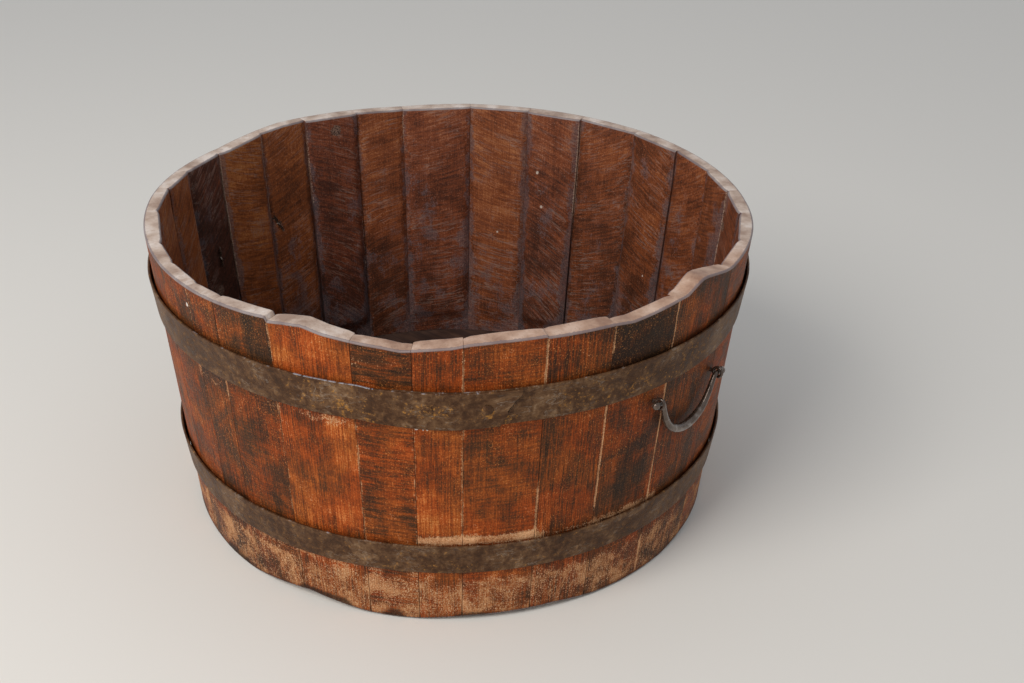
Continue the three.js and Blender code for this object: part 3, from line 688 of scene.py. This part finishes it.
# %% Marks on joints, as (azimuth, from height, to height, strength), and spots, as (azimuth, height, size)
SCUFFED_JOINTS = [  # pale filled joints outside
    (314.3, 105, 240, 0.42), (339.8, 118, 242, 0.75), (353.4, 84, 242, 0.85), (327.8, 108, 165, 0.6),
    (296.3, 102, 240, 0.42), (269.4, 222, 250, 0.7), (314.3, 276, 319, 0.5), (353.4, 281, 332, 0.7),
    (327.8, 276, 327, 0.6), (339.8, 300, 327, 0.6), (306.1, 110, 238, 0.25), (281.6, 285, 325, 0.45),
    (353.4, 0, 45, 0.6), (281.6, 110, 240, 0.25), (261.7, 285, 320, 0.5),
]
PALE_JOINTS = [  # a thin pale line in an inside joint
    (180.5, 215, 322, 0.6), (168.3, 225, 322, 0.38), (193.9, 160, 318, 0.6), (155.4, 120, 200, 0.4),
    (144.0, 285, 322, 0.5), (100.8, 205, 320, 0.75), (86.0, 230, 300, 0.35), (206.1, 180, 290, 0.4),
    (49.1, 240, 325, 0.6), (60.2, 200, 250, 0.4),
]
OUTSIDE_FLECKS = [(261, 305, 2.0), (306.6, 237, 1.6), (308.4, 236, 1.2)]
INSIDE_FLECKS = [(110.6, 253, 2.0), (109.0, 209, 1.8), (120.5, 166, 1.4), (77.0, 160, 1.3)]
KNOTS = [(161, 312, 7), (47, 288, 5), (202, 170, 6), (179.4, 219, 2.6), (178.4, 211, 3.4), (177.6, 202, 2.2)]


# %% The strength of marks at points
def turned(azimuth, place):
    """Degrees from a place round to an azimuth, the short way."""
    return (azimuth - place + 180) % 360 - 180


def patches(marks, azimuth, z, soft=3.0):
    """The strength of a list of patches at each point, with soft edges."""
    result = np.zeros(len(z))
    for start, end, low, high, strength in marks:
        half = ((end - start) % 360) / 2
        beside = np.radians(half - abs(turned(azimuth - start, half))) * RIM_RADIUS
        inside = smooth(-soft, soft, beside) * smooth(-soft, soft, z - low) * smooth(-soft, soft, high - z)
        result += strength * inside
    return result


def along_joints(marks, azimuth, z, width):
    """The strength of a list of marked joints at each point, within a width of the joint."""
    result = np.zeros(len(z))
    for place, low, high, strength in marks:
        beside = np.radians(abs(turned(azimuth, place))) * RIM_RADIUS
        ends = smooth(low - 8, low + 4, z) * smooth(high + 8, high - 4, z)
        result += strength * ends * smooth(width, width / 4, beside)
    return result


def away_from(marks, azimuth, z):
    """The way from the nearest mark to each point, in sizes of the mark."""
    places, heights, sizes = np.array(marks, dtype=float).T[:, :, None]
    beside = np.radians(turned(azimuth, places)) * RIM_RADIUS / sizes
    above = (z - heights) / sizes
    nearest = np.argmin(np.hypot(beside, above), axis=0)
    every = np.arange(len(z))
    return np.stack([beside[nearest, every], np.zeros(len(z)), above[nearest, every]], 1)


# %% [markdown]
# Each side of a stave reads the same values, so the outside and the inside are worked out for every point,
# and the depth behind the outer face says which of them counts. Each board starts its grain 173 mm from the
# last one's, so that none repeats.

# %% Paint the wear of a stave
BOARD_STEP = 173
SCUFF_WIDTH, PALE_WIDTH = 1.7, 1.5


def paint_stave(mesh, number, middle, thickness):
    """Writes the values that the three wood finishes read."""
    x, y, z = points_of(mesh).T
    azimuth = middle + (np.degrees(np.arctan2(y, x)) - middle + 180) % 360 - 180
    across, depth = np.radians(azimuth - middle) * RIM_RADIUS, wall(z) - np.hypot(x, y)
    to_joint = values_of(mesh, "to_joint")
    outer = smooth(6, 3, depth)
    inner = 1 - outer

    # The saw's centre is far to one side, and the outside was planed straighter.
    rng = np.random.default_rng(number)
    saw_x = rng.choice([-1, 1]) * rng.uniform(60, 160)
    saw_z = rng.choice([-1, 1]) * rng.uniform(260, 500) + 170
    sweep = np.hypot(across - saw_x, z - saw_z) * inner + outer * np.hypot(across - saw_x, z + 1500)

    # The stain is lighter at the foot outside. Inside, a painted highlight lightens it towards the rim and a
    # painted shade darkens it low down.
    tone = OUTSIDE_TONE[number] + patches(OUTSIDE_PATCHES, azimuth, z, 2) + 0.06 * smooth(60, 30, z)
    inside_tone_and_painted_light = INSIDE_TONE[number] + patches(INSIDE_PATCHES, azimuth, z, 12) - 0.14 * smooth(190, 40, z)
    inside_tone_and_painted_light += 0.07 * smooth(230, 310, z)

    # The wood is bare below the lower hoop and along the edges, and wax blooms low down and in the joints.
    worn = patches(WORN_PATCHES, azimuth, z) + 0.46 * smooth(66, 44, z) + 0.14 * smooth(3, 0.5, to_joint)
    scuffed = along_joints(SCUFFED_JOINTS, azimuth, z, SCUFF_WIDTH)
    pale = along_joints(PALE_JOINTS, azimuth, z, PALE_WIDTH)
    bloom = patches(BLOOM_PATCHES, azimuth, z, 9) + 0.32 * smooth(170, 30, z)
    bloom += rng.uniform(0.4, 0.75) * smooth(rng.uniform(6, 13), 2, to_joint) + 0.06 * smooth(280, 120, z)

    # Soot fills the joints, apart from those that are filled or pale, and the damp feet.
    at_rim = values_of(mesh, "below_rim") < 3
    filled = 0.6 * outer * scuffed + 0.5 * inner * pale + 0.12 * inner + 0.2 * at_rim
    soot = np.maximum(0.55 - filled, 0) * smooth(1.2, 0.1, to_joint)
    soot += 0.55 * outer * smooth(9, 0, values_of(mesh, "above_foot"))
    soot += outer * patches(FOOT_STAINS, azimuth, z, 6)

    # A dark grey-blue painted shade and reflection follows the rim's outer and inner corner.
    inner_edge = wall(z) - (wall(z) - thickness) / np.cos(np.radians(azimuth - middle))
    bevelled = np.clip(1 - to_joint / EDGE_BEVEL_WIDTH, 0, 1)
    inner_edge -= (1 - RIM_BEVEL_LOSS) * EDGE_BEVEL_SHARE * thickness * bevelled
    painted_corner_shade = np.maximum(smooth(2.9, 1.2, depth), 0.8 * smooth(2.4, 1, inner_edge - depth))

    flecks = [away_from(marks, azimuth, z) for marks in (OUTSIDE_FLECKS, INSIDE_FLECKS)]
    for label, values in {
        "board": np.stack([across + BOARD_STEP * number, depth, z], 1) * MM,
        "sweep": sweep * MM,
        "strokes": np.full(len(z), OUTSIDE_STROKES[number]),
        "tone": outer * tone + inner * inside_tone_and_painted_light,
        "ochre": np.full(len(z), INSIDE_OCHRE[number]),
        "worn": outer * (worn + scuffed) + inner * pale,
        "bloom": inner * bloom,
        "soot": soot,
        "from_fleck": np.where(outer[:, None] > 0.5, *flecks),
        "from_knot": away_from(KNOTS, azimuth, z),
        "painted_corner_shade": painted_corner_shade,
        "tan": patches(HAND_PATCHES, azimuth, z, 30),
    }.items():
        set_values(mesh, label, values)


# %% [markdown]
# The ring is made stave by stave. A face takes the finish of the side it lies on, and a face in the joint
# takes the inside one, because it shows where a thick stave stands beside a thin one.

# %% Make the ring of staves
IN_JOINT = 0.01  # millimetres from the joint
STAVE_SHARP = math.radians(40)
staves = []
for number, (_, thickness) in enumerate(STAVES):
    start, end = joints[number], joints[number + 1]
    name = f"stave_{number + 1:02d}"
    middle = (start + end) / 2
    piece = cooper.grow(f"worn_{name}", flat_board(name, start, end, thickness), {
        "Middle": math.radians(middle), "Foot Radius": FOOT_RADIUS * MM, "Slope": math.tan(WALL_TILT),
        "Rim Radius": RIM_RADIUS * MM, "Rounding": 0.6 * MM, "Unevenness": 0.5 * MM, "Chipping": 0.4 * MM,
        "Seed": float(number), "Material": outside_wood,
    })
    mesh = piece.data
    paint_stave(mesh, number, middle, thickness)
    mesh.materials.append(inside_wood)
    mesh.materials.append(rim_wood)
    side, to_joint = values_of(mesh, "side").round(), values_of(mesh, "to_joint")
    for face in mesh.polygons:
        corners = list(face.vertices)
        flank = to_joint[corners].max() < IN_JOINT
        face.material_index = SIDES["in"] if flank else int(side[corners].max())
    mesh.shade_smooth()
    mesh.set_sharp_from_angle(angle=STAVE_SHARP)
    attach(piece, "tub")
    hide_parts(name)
    staves.append(piece)
print("staves", len(staves), "with", sum(len(piece.data.polygons) for piece in staves), "faces")

# %% [markdown]
# ## The iron of the hoops
# The straps were forged long ago. They have a dark brown skin, ochre rust where it flaked, thin scuffs and
# a pale blue-grey painted highlight along the edges. The metal is hidden under its skin, so the shader is
# mostly not metallic.

# %% The hoops' finish
forged = Finish("old_iron")
iron = forged.material
strap = forged.attribute("strap", "Vector")
cloud = forged.noise(strap, 24, 4, 0.6, 0.4)
crust = forged.noise(strap, 130, 7, 0.72, 0.3)
grit = forged.noise(strap, 620, 3, 0.7)
scuffs = forged.noise(forged.stretched(strap, (0.3, 1, 1)), 90, 5, 0.6, 0.5)
pitting = forged.noise(strap, 270, 5, 0.7)
forged.colour = forged.ramp(forged.total(forged.times(crust, 0.6), forged.times(cloud, 0.4)), [
    (0.32, 42, 27, 16), (0.46, 76, 50, 31), (0.56, 108, 79, 54), (0.68, 154, 126, 98),
])
forged.lay(forged.between(grit, 0.42, 0.3), 0.5, (36, 26, 18))
rust = forged.rubbed(forged.total(forged.attribute("rust"), forged.swing(crust, 0.3)), pitting)
forged.lay(rust, 0.75, forged.ramp(grit, [(0.35, 120, 70, 26), (0.65, 196, 142, 66)]))
forged.lay(forged.times(forged.lines(scuffs, 0.012), forged.between(cloud, 0.45, 0.6)), 0.4, (170, 158, 144))
# A pale blue-grey painted highlight along the strap's edges, read from the edge value.
forged.lay(forged.rubbed(forged.attribute("edge"), crust, 0.7), 0.75, (160, 164, 174))
relief = forged.total(forged.times(grit, 0.4), crust, forged.lines(scuffs, 0.02, -0.4))
forged.done(forged.between(crust, 0.35, 0.65, 0.38, 0.62), relief, strength=0.7, depth=0.7,
            settings={"Metallic": 0.2, "Specular IOR Level": 0.15})

# %% [markdown]
# ## The hoops
# Each hoop is one strap that goes round the tub and laps over its own end. The mesh is a thin rounded
# section carried round the cone: at the end of the turn it steps out over the first layer. A tree then
# gives it the dents of the hammer and ragged edges.

# %% The hoops' sizes
HOOP_THICKNESS, HOOP_STAND_OFF = 2.2, 2
HOOP_JOGGLE, DROOP_REACH = 3, 14  # degrees of the step over the first layer, and of the droop beside the lap
HOOPS = {
    "upper": dict(bottom=242.5, width=39, inner_end=-57, lap=17.2, slant=3.6, low_droop=3.6, high_droop=1.8),
    "lower": dict(bottom=64.5, width=35, inner_end=122, lap=16, slant=0, low_droop=0, high_droop=0),
}
CORNER = 0.6  # rounding of the strap's edges
TORN_END = 2.2  # degrees
STRAP_STEP, COARSE_UNTIL, FINE_FROM, FINE_STEPS = 0.5, 3, 2.9, 16  # degrees; finer close to the torn end
STRAP_RADIUS = 310  # for lengths along a strap
HOOP_SHARP = math.radians(45)
RUST_PATCHES = [  # ochre rust on the hoops, like OUTSIDE_PATCHES
    (305, 310, 252, 268, 0.3), (293, 296, 252, 262, 0.4), (298, 301, 238, 248, 0.35),
    (310, 313, 256, 266, 0.4), (317, 320, 250, 260, 0.4), (321, 324, 244, 254, 0.35),
    (342, 349, 248, 264, 0.3), (330, 340, 246, 276, 0.18), (284, 300, 243, 281, 0.12),
    (352, 4, 244, 275, 0.16), (90, 110, 242, 280, 0.15), (200, 230, 242, 280, 0.15),
    (300, 318, 66, 78, 0.12), (20, 60, 64, 98, 0.15), (150, 170, 70, 98, 0.2),
]
EDGE_HIGHLIGHT_PATCHES = [  # painted highlight along the top edges
    (286, 300, 276, 290, 0.5), (300, 318, 274, 290, 0.16), (318, 345, 274, 290, 0.06),
    (262, 300, 96, 104, 0.1), (262, 286, 276, 290, 0.12),
]


# %% A strap as a mesh
def strap_section(t, w, c):
    """Depth and rise round the section of a strap of thickness t and width w, with corners rounded by c."""
    quarter = np.linspace(0, np.pi / 2, 4)
    section = [(t - c + c * math.sin(a), c - c * math.cos(a)) for a in quarter]
    section += [(t, s) for s in np.linspace(c, w - c, 15)[1:-1]]
    section += [(t - c + c * math.cos(a), w - c + c * math.sin(a)) for a in quarter]
    section += [(c - c * math.sin(a), w - c + c * math.cos(a)) for a in quarter]
    section += [(0, s) for s in np.linspace(w - c, c, 7)[1:-1]]
    section += [(c - c * math.cos(a), c - c * math.sin(a)) for a in quarter]
    return section


def strap_mesh(name, hoop):
    """A hoop's strap, which droops beside its lap and ends in a slanted, torn edge."""
    turn, w = 360 + hoop["lap"], hoop["width"]
    section = strap_section(HOOP_THICKNESS, w, CORNER)
    fine = np.linspace(turn - FINE_FROM, turn, FINE_STEPS)
    points, marks = [], []
    for place in np.concatenate([np.arange(0, turn - COARSE_UNTIL, STRAP_STEP), fine]):
        over = smooth(360 - 2 * HOOP_JOGGLE, 360 - HOOP_JOGGLE, place)
        dip = smooth(0, DROOP_REACH, DROOP_REACH - abs(turned(place, hoop["lap"] / 2)))
        low = hoop["bottom"] - dip * hoop["low_droop"]
        high = hoop["bottom"] + w - dip * hoop["high_droop"]
        out = 1.5 * GAP + over * (HOOP_THICKNESS + GAP)
        for depth, rise in section:
            share = rise / w
            z = low + (high - low) * share
            r = wall(low) + (wall(high) + HOOP_STAND_OFF - wall(low)) * share + out + depth
            torn = 0.25 * math.sin(9 * share) + 0.12 * math.sin(23 * share + 1)
            slanted = (hoop["slant"] * share + torn) * np.clip((place - turn + TORN_END) / TORN_END, 0, 1)
            azimuth = math.radians(hoop["inner_end"] + place + slanted)
            points.append((r * math.cos(azimuth) * MM, r * math.sin(azimuth) * MM, z * MM))
            marks.append((place, rise, min(rise, w - rise)))
    mesh = closed_mesh(name, points, len(section))
    place, rise, inset = np.array(marks).T
    along = np.radians(place) * STRAP_RADIUS
    set_values(mesh, "strap", np.stack([along, np.zeros(len(rise)), rise], 1) * MM)
    set_values(mesh, "inset", inset)
    set_values(mesh, "rise", rise / w)
    return mesh


# %% The tree that hammers a strap
smith = Shape("smith", ["Dents", "Raggedness", "Seed"])
sizes = smith.inputs
spot = smith.vector("ADD", smith.named("strap", "FLOAT_VECTOR"), smith.join(sizes["Seed"], 0, 0))
dents = smith.uneven(spot, sizes["Dents"], 34, 2, 0.5)
near_edge = smith.between(smith.named("inset"), 5, 0)
torn = smith.times(near_edge, smith.less(smith.noise(spot, 60, 4, 0.6), 0.5))
torn = smith.times(torn, sizes["Raggedness"])
shift = smith.vector("ADD", smith.scaled(smith.step("InputNormal"), dents), smith.join(0, 0, torn))
smith.close(smith.step("SetPosition", Geometry=sizes["Geometry"], Offset=shift))

# %% Make the hoops
for number, (name, hoop) in enumerate(HOOPS.items()):
    piece = smith.grow(f"forged_hoop_{name}", strap_mesh(f"hoop_{name}", hoop), {
        "Dents": 0.5 * MM, "Raggedness": 0.8 * MM, "Seed": float(number), "Material": iron,
    })
    mesh = piece.data
    x, y, z = points_of(mesh).T
    azimuth = np.degrees(np.arctan2(y, x))
    # The edge value is a painted highlight: on every edge, stronger on the upper one and in the listed
    # patches.
    edge_highlight = 0.04 + 0.08 * (values_of(mesh, "rise") > 0.5) + patches(EDGE_HIGHLIGHT_PATCHES, azimuth, z, 4)
    set_values(mesh, "edge", smooth(0.8, 0.2, values_of(mesh, "inset")) * edge_highlight)
    set_values(mesh, "rust", patches(RUST_PATCHES, azimuth, z, 4))
    mesh.shade_smooth()
    mesh.set_sharp_from_angle(angle=HOOP_SHARP)
    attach(piece, "tub")
    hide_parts(f"hoop_{name}")
    print(piece.name, len(mesh.polygons), "faces")

# %% [markdown]
# ## Rivets
# Two rivets close each lap. Their domed heads repeat, so a tree puts one dome on each of four points,
# turned to stand off the wall, and then batters each of them in its own way.

# %% The tree that sets rivets
setter = Shape("rivet_setter", ["Head Radius", "Head Height", "Battering"])
sizes = setter.inputs
ball = setter.step("MeshUVSphere", Segments=28, Rings=14, Radius=sizes["Head Radius"])
flat = setter.math("DIVIDE", sizes["Head Height"], sizes["Head Radius"])
dome = setter.step("Transform", Geometry=ball, Scale=setter.join(flat, 1, 1))
facing = setter.named("facing", "FLOAT_VECTOR")
heads = setter.step("InstanceOnPoints", Points=sizes["Geometry"], Instance=dome, Rotation=facing)
heads = setter.step("RealizeInstances", Geometry=heads)
setter.close(setter.battered(heads, sizes["Battering"], 260))

# %% Make the rivets
HEAD_RADIUS, HEAD_HEIGHT, RIVET_PLACES = 5.6, 1.8, (0.32, 0.88)  # places as shares of the lap
RIVET_RUST = 0.15
points, facing = [], []
for hoop in HOOPS.values():
    z = hoop["bottom"] + hoop["width"] / 2
    tilt = WALL_TILT + math.atan(HOOP_STAND_OFF / hoop["width"])
    stack = 2 * HOOP_THICKNESS + 3 * GAP  # both layers of the strap
    for share in RIVET_PLACES:
        azimuth = math.radians(hoop["inner_end"] + hoop["lap"] * share)
        seat = wall(z) + HOOP_STAND_OFF / 2 + GAP + stack * math.cos(tilt)
        top = z - stack * math.sin(tilt)
        points.append((seat * math.cos(azimuth) * MM, seat * math.sin(azimuth) * MM, top * MM))
        facing.append((0, tilt, azimuth))
mesh = bpy.data.meshes.new("rivet_points")
mesh.from_pydata(points, [], [])
set_values(mesh, "facing", facing)
rivets = setter.grow("rivet_heads", mesh, {
    "Head Radius": HEAD_RADIUS * MM, "Head Height": HEAD_HEIGHT * MM, "Battering": 0.5 * MM, "Material": iron,
})
set_values(rivets.data, "strap", points_of(rivets.data) * MM)
set_values(rivets.data, "rust", np.full(len(rivets.data.vertices), RIVET_RUST))
rivets.data.shade_smooth()
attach(rivets, "tub")
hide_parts("rivet_upper_1", "rivet_upper_2", "rivet_lower_1", "rivet_lower_2")
print("rivets:", len(rivets.data.polygons), "faces")

# %% [markdown]
# ## The handles
# A handle is a round rod that tapers to a pin at each end, turned through an eye and closed off with a
# ball. An eye is one wire bent double: round the ring, side by side through the stave, and opened out along
# its inner face. Both are a path with a thickness at each point, so one tree draws them all. Their steel is
# dark and polished by use, which takes a metallic shader under a thin coat.

# %% The handles' finish
used = Finish("dark_steel")
steel = used.material
place = used.object_place()
cloud = used.noise(place, 70, 4, 0.6)
scale = used.noise(place, 420, 4, 0.65)
shades = used.ramp(cloud, [(0.35, 66, 51, 40), (0.55, 100, 85, 74), (0.7, 160, 152, 146)])
used.colour = used.mix(used.between(scale, 0.54, 0.68, 0, 0.7), shades, paint(82, 58, 42))
used.done(used.between(scale, 0.35, 0.65, 0.18, 0.3), scale, strength=0.16, depth=0.3,
          settings={"Metallic": 0.65, "Coat Weight": 0.5, "Coat Roughness": 0.12})

# %% The tree that draws a rod along a path
ROD_SIDES = 20
drawn = Shape("rod_along_path", ["Hammering"])
sizes = drawn.inputs
line = drawn.step("MeshToCurve", Mesh=sizes["Geometry"])
line = drawn.step("SetCurveRadius", Curve=line, Radius=drawn.named("thickness"))
ring = drawn.step("CurvePrimitiveCircle", Radius=1.0, Resolution=ROD_SIDES)
profile = {"Curve": line, "Profile Curve": ring, "Scale": drawn.named("thickness"), "Fill Caps": True}
rod = drawn.battered(drawn.step("CurveToMesh", **profile), sizes["Hammering"], 130)
drawn.close(drawn.step("SetShadeSmooth", Geometry=rod))


def path_mesh(name, path, place):
    """A chain of points, put in its place, with a thickness at each."""
    points, thickness = path
    mesh = bpy.data.meshes.new(name)
    chain = [(i, i + 1) for i in range(len(points) - 1)]
    mesh.from_pydata([tuple((place @ Vector(p)) * MM) for p in points], chain, [])
    set_values(mesh, "thickness", np.array(thickness) * MM)
    return mesh


# %% [markdown]
# A handle is drawn facing +X with its hinge axis along Y, and is then put in its place on the wall, a
# little crooked. Its bends are a few corners with a smooth line through them, as a smith would bend a rod
# by eye.

# %% The handles' sizes and places
HANDLES = {  # degrees and millimetres; clench is how far the legs of the left and the right eye lean
    "front": dict(azimuth=0, height=221, spacing=103, tilt=5, clench=(-6, 9)),
    "rear": dict(azimuth=189.5, height=212, spacing=108, tilt=1.8, clench=(23, -4)),
}
EYE_RADIUS, EYE_WIRE, EYE_STAND_OFF, EYE_OPENING = 4.8, 1.6, 2, 1.25
LEG_RADIUS, LEG_LENGTH, LEG_TIP, SHANK_APART = 1.4, 25, 0.8, 1.0
BAIL_DROP, PIN, GRIP, BALL, BALL_PLAY = 42, 2.4, 4.6, 4.2, 0.6
BAIL_BENDS = [  # shares of half the spacing and of the drop
    (0.9, 0.04), (0.84, 0.18), (0.75, 0.43), (0.56, 0.75), (0.28, 0.94),
]


def hinge_x(handle):
    """X of the hinge axis, with the handle facing +X."""
    seat = math.sqrt(wall(handle["height"]) ** 2 - (handle["spacing"] / 2) ** 2)
    return seat + EYE_STAND_OFF + EYE_WIRE + EYE_RADIUS


def handle_place(handle):
    """The frame that a handle is drawn in: +X points out, and the hinge axis lies along Y."""
    azimuth, x = math.radians(handle["azimuth"]), hinge_x(handle)
    return (
        Matrix.Translation((x * math.cos(azimuth), x * math.sin(azimuth), handle["height"]))
        @ Matrix.Rotation(azimuth, 4, "Z")
        @ Matrix.Rotation(-math.radians(handle["tilt"]), 4, "X")
    )


def through_points(points, steps=24):
    """A smooth line through the points: a centripetal Catmull-Rom spline."""
    points = [np.array(p, dtype=float) for p in points]
    points = [2 * points[0] - points[1], *points, 2 * points[-1] - points[-2]]
    line = []
    for a, b, c, d in zip(points, points[1:], points[2:], points[3:]):
        t0 = 0.0
        t1 = t0 + math.sqrt(np.linalg.norm(b - a))
        t2 = t1 + math.sqrt(np.linalg.norm(c - b))
        t3 = t2 + math.sqrt(np.linalg.norm(d - c))
        for t in np.linspace(t1, t2, steps, endpoint=False):
            ab = ((t1 - t) * a + (t - t0) * b) / (t1 - t0)
            bc = ((t2 - t) * b + (t - t1) * c) / (t2 - t1)
            cd = ((t3 - t) * c + (t - t2) * d) / (t3 - t2)
            left = ((t2 - t) * ab + (t - t0) * bc) / (t2 - t0)
            right = ((t3 - t) * bc + (t - t1) * cd) / (t3 - t1)
            line.append(((t2 - t) * left + (t - t1) * right) / (t2 - t1))
    return np.array([*line, points[-2]])


# %% [markdown]
# A bail hangs from its two pins. The rod swells towards the grip, and the balls are short steps of
# thickness at the ends of the same path, so that the whole bail is one mesh.

# %% Make the bails
def bail_path(handle):
    """A hanging bail's centre line and its thickness along it."""
    eye = handle["spacing"] / 2
    half = [(eye + EYE_WIRE + BALL_PLAY + 2 * BALL, 0), (eye, 0)]
    half += [(out * eye, -down * BAIL_DROP) for out, down in BAIL_BENDS]
    corners = [(0, -y, z) for y, z in half] + [(0, 0, -BAIL_DROP)] + [(0, y, z) for y, z in reversed(half)]
    line = through_points(corners)
    along = np.concatenate([[0], np.cumsum(np.linalg.norm(np.diff(line, axis=0), axis=1))])
    length = along[-1]
    ball = BALL * (1 - np.cos(np.linspace(0.05, 2.6, 18)))
    places = np.concatenate([ball, np.linspace(ball[-1], length - ball[-1], 120)[1:-1], length - ball[::-1]])
    line = np.stack([np.interp(places, along, line[:, i]) for i in range(3)], 1)
    from_end = np.minimum(places, length - places)
    ball = np.sqrt(np.maximum(0, BALL**2 - (BALL - from_end) ** 2))
    shaft = PIN + (GRIP - PIN) * np.sin(np.pi * places / length) ** 2
    return line, np.where(from_end < BALL, ball, np.maximum(ball, shaft))


for name, handle in HANDLES.items():
    mesh = path_mesh(f"bail_{name}", bail_path(handle), handle_place(handle))
    piece = drawn.grow(f"drawn_bail_{name}", mesh, {"Hammering": 0.5 * MM, "Material": steel})
    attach(piece, f"bail_{name}")
    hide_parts(f"bail_{name}")
    print(piece.name, len(piece.data.polygons), "faces")


# %% [markdown]
# The legs of an eye are clenched flat against the inner face of the stave that it goes through, so the
# stave is looked up first, and the legs turn and lean with it.

# %% Make the eyes
def eye_path(handle, side):
    """The wire of a split-pin eye, with its thickness: leg, shank, ring, shank, leg."""
    y = side * handle["spacing"] / 2
    height = handle["height"] - y * math.sin(math.radians(handle["tilt"]))
    azimuth = handle["azimuth"] + math.degrees(math.asin(y / wall(height)))
    number = next(i for i in range(len(STAVES)) if (azimuth - joints[i]) % 360 < joints[i + 1] - joints[i])
    middle = (joints[number] + joints[number + 1]) / 2
    face = (wall(height) - STAVES[number][1]) / math.cos(math.radians(azimuth - middle))
    inside = math.sqrt(face**2 - y**2) - hinge_x(handle)
    bend = Vector((inside - LEG_RADIUS - 2 * GAP, y, 0))
    lean = math.radians(handle["clench"][0 if side < 0 else 1] + handle["tilt"])
    leg = Vector((0, math.sin(lean), math.cos(lean))) * LEG_LENGTH / 2
    facing = math.radians(turned(middle, handle["azimuth"]))
    leg = Matrix.Rotation(facing, 3, "Z") @ Matrix.Rotation(WALL_TILT, 3, "Y") @ leg
    start = math.asin(EYE_OPENING / EYE_RADIUS)
    ring = [Vector((-EYE_RADIUS * math.cos(a), y, EYE_RADIUS * math.sin(a)))
            for a in np.linspace(start, 2 * math.pi - start, 32)]
    shank = [bend + Vector((2.2, 0, 0)), Vector((-EYE_RADIUS - 1.6, y, 0))]
    halves = []
    for way in (1, -1):
        legs = [bend + leg * way, bend + leg * (0.6 * way), bend + leg * (0.25 * way) + Vector((0.2, 0, 0))]
        halves.append(legs + [place + Vector((0, 0, SHANK_APART * way)) for place in shank])
    path = [*halves[0], *ring, *reversed(halves[1])]
    thickness = [LEG_TIP, *[LEG_RADIUS] * 4, *[EYE_WIRE] * len(ring), *[LEG_RADIUS] * 4, LEG_TIP]
    line = through_points(path, 4)
    return line, np.interp(np.arange(len(line)) / 4, np.arange(len(path)), thickness)


for name, handle in HANDLES.items():
    for side, label in ((-1, "left"), (1, "right")):
        mesh = path_mesh(f"eye_{name}_{label}", eye_path(handle, side), handle_place(handle))
        piece = drawn.grow(f"bent_eye_{name}_{label}", mesh, {"Hammering": 0.2 * MM, "Material": steel})
        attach(piece, "tub")
        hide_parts(f"eye_{name}_{label}")
        print(piece.name, len(piece.data.polygons), "faces")

# %% [markdown]
# ## The head
# The floor of the tub lies in deep shadow. Its boards keep the modelled shape and get a dark brown finish of
# their own, with the grain along each board.

# %% The head's finish
dark_head = Finish("head_wood")
place = dark_head.object_place()
grain = dark_head.noise(dark_head.stretched(place, (0.05, 1, 1)), 130, 5, 0.6, 0.3)
mottle = dark_head.noise(place, 18, 4, 0.6)
dark_head.colour = dark_head.ramp(dark_head.math("MULTIPLY_ADD", grain, 0.6, dark_head.times(mottle, 0.4)), [
    (0.3, 30, 20, 16), (0.5, 58, 38, 29), (0.7, 92, 64, 48),
])
dark_head.done(dark_head.between(mottle, 0.3, 0.7, 0.55, 0.75), grain, strength=0.5, depth=0.6)
for name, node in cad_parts.items():
    if name.startswith(("head_board", "dowel")):
        node.data.materials.clear()
        node.data.materials.append(dark_head.material)

# %% [markdown]
# ## View
# The colours are shown as written.

scene.view_settings.view_transform = "Standard"
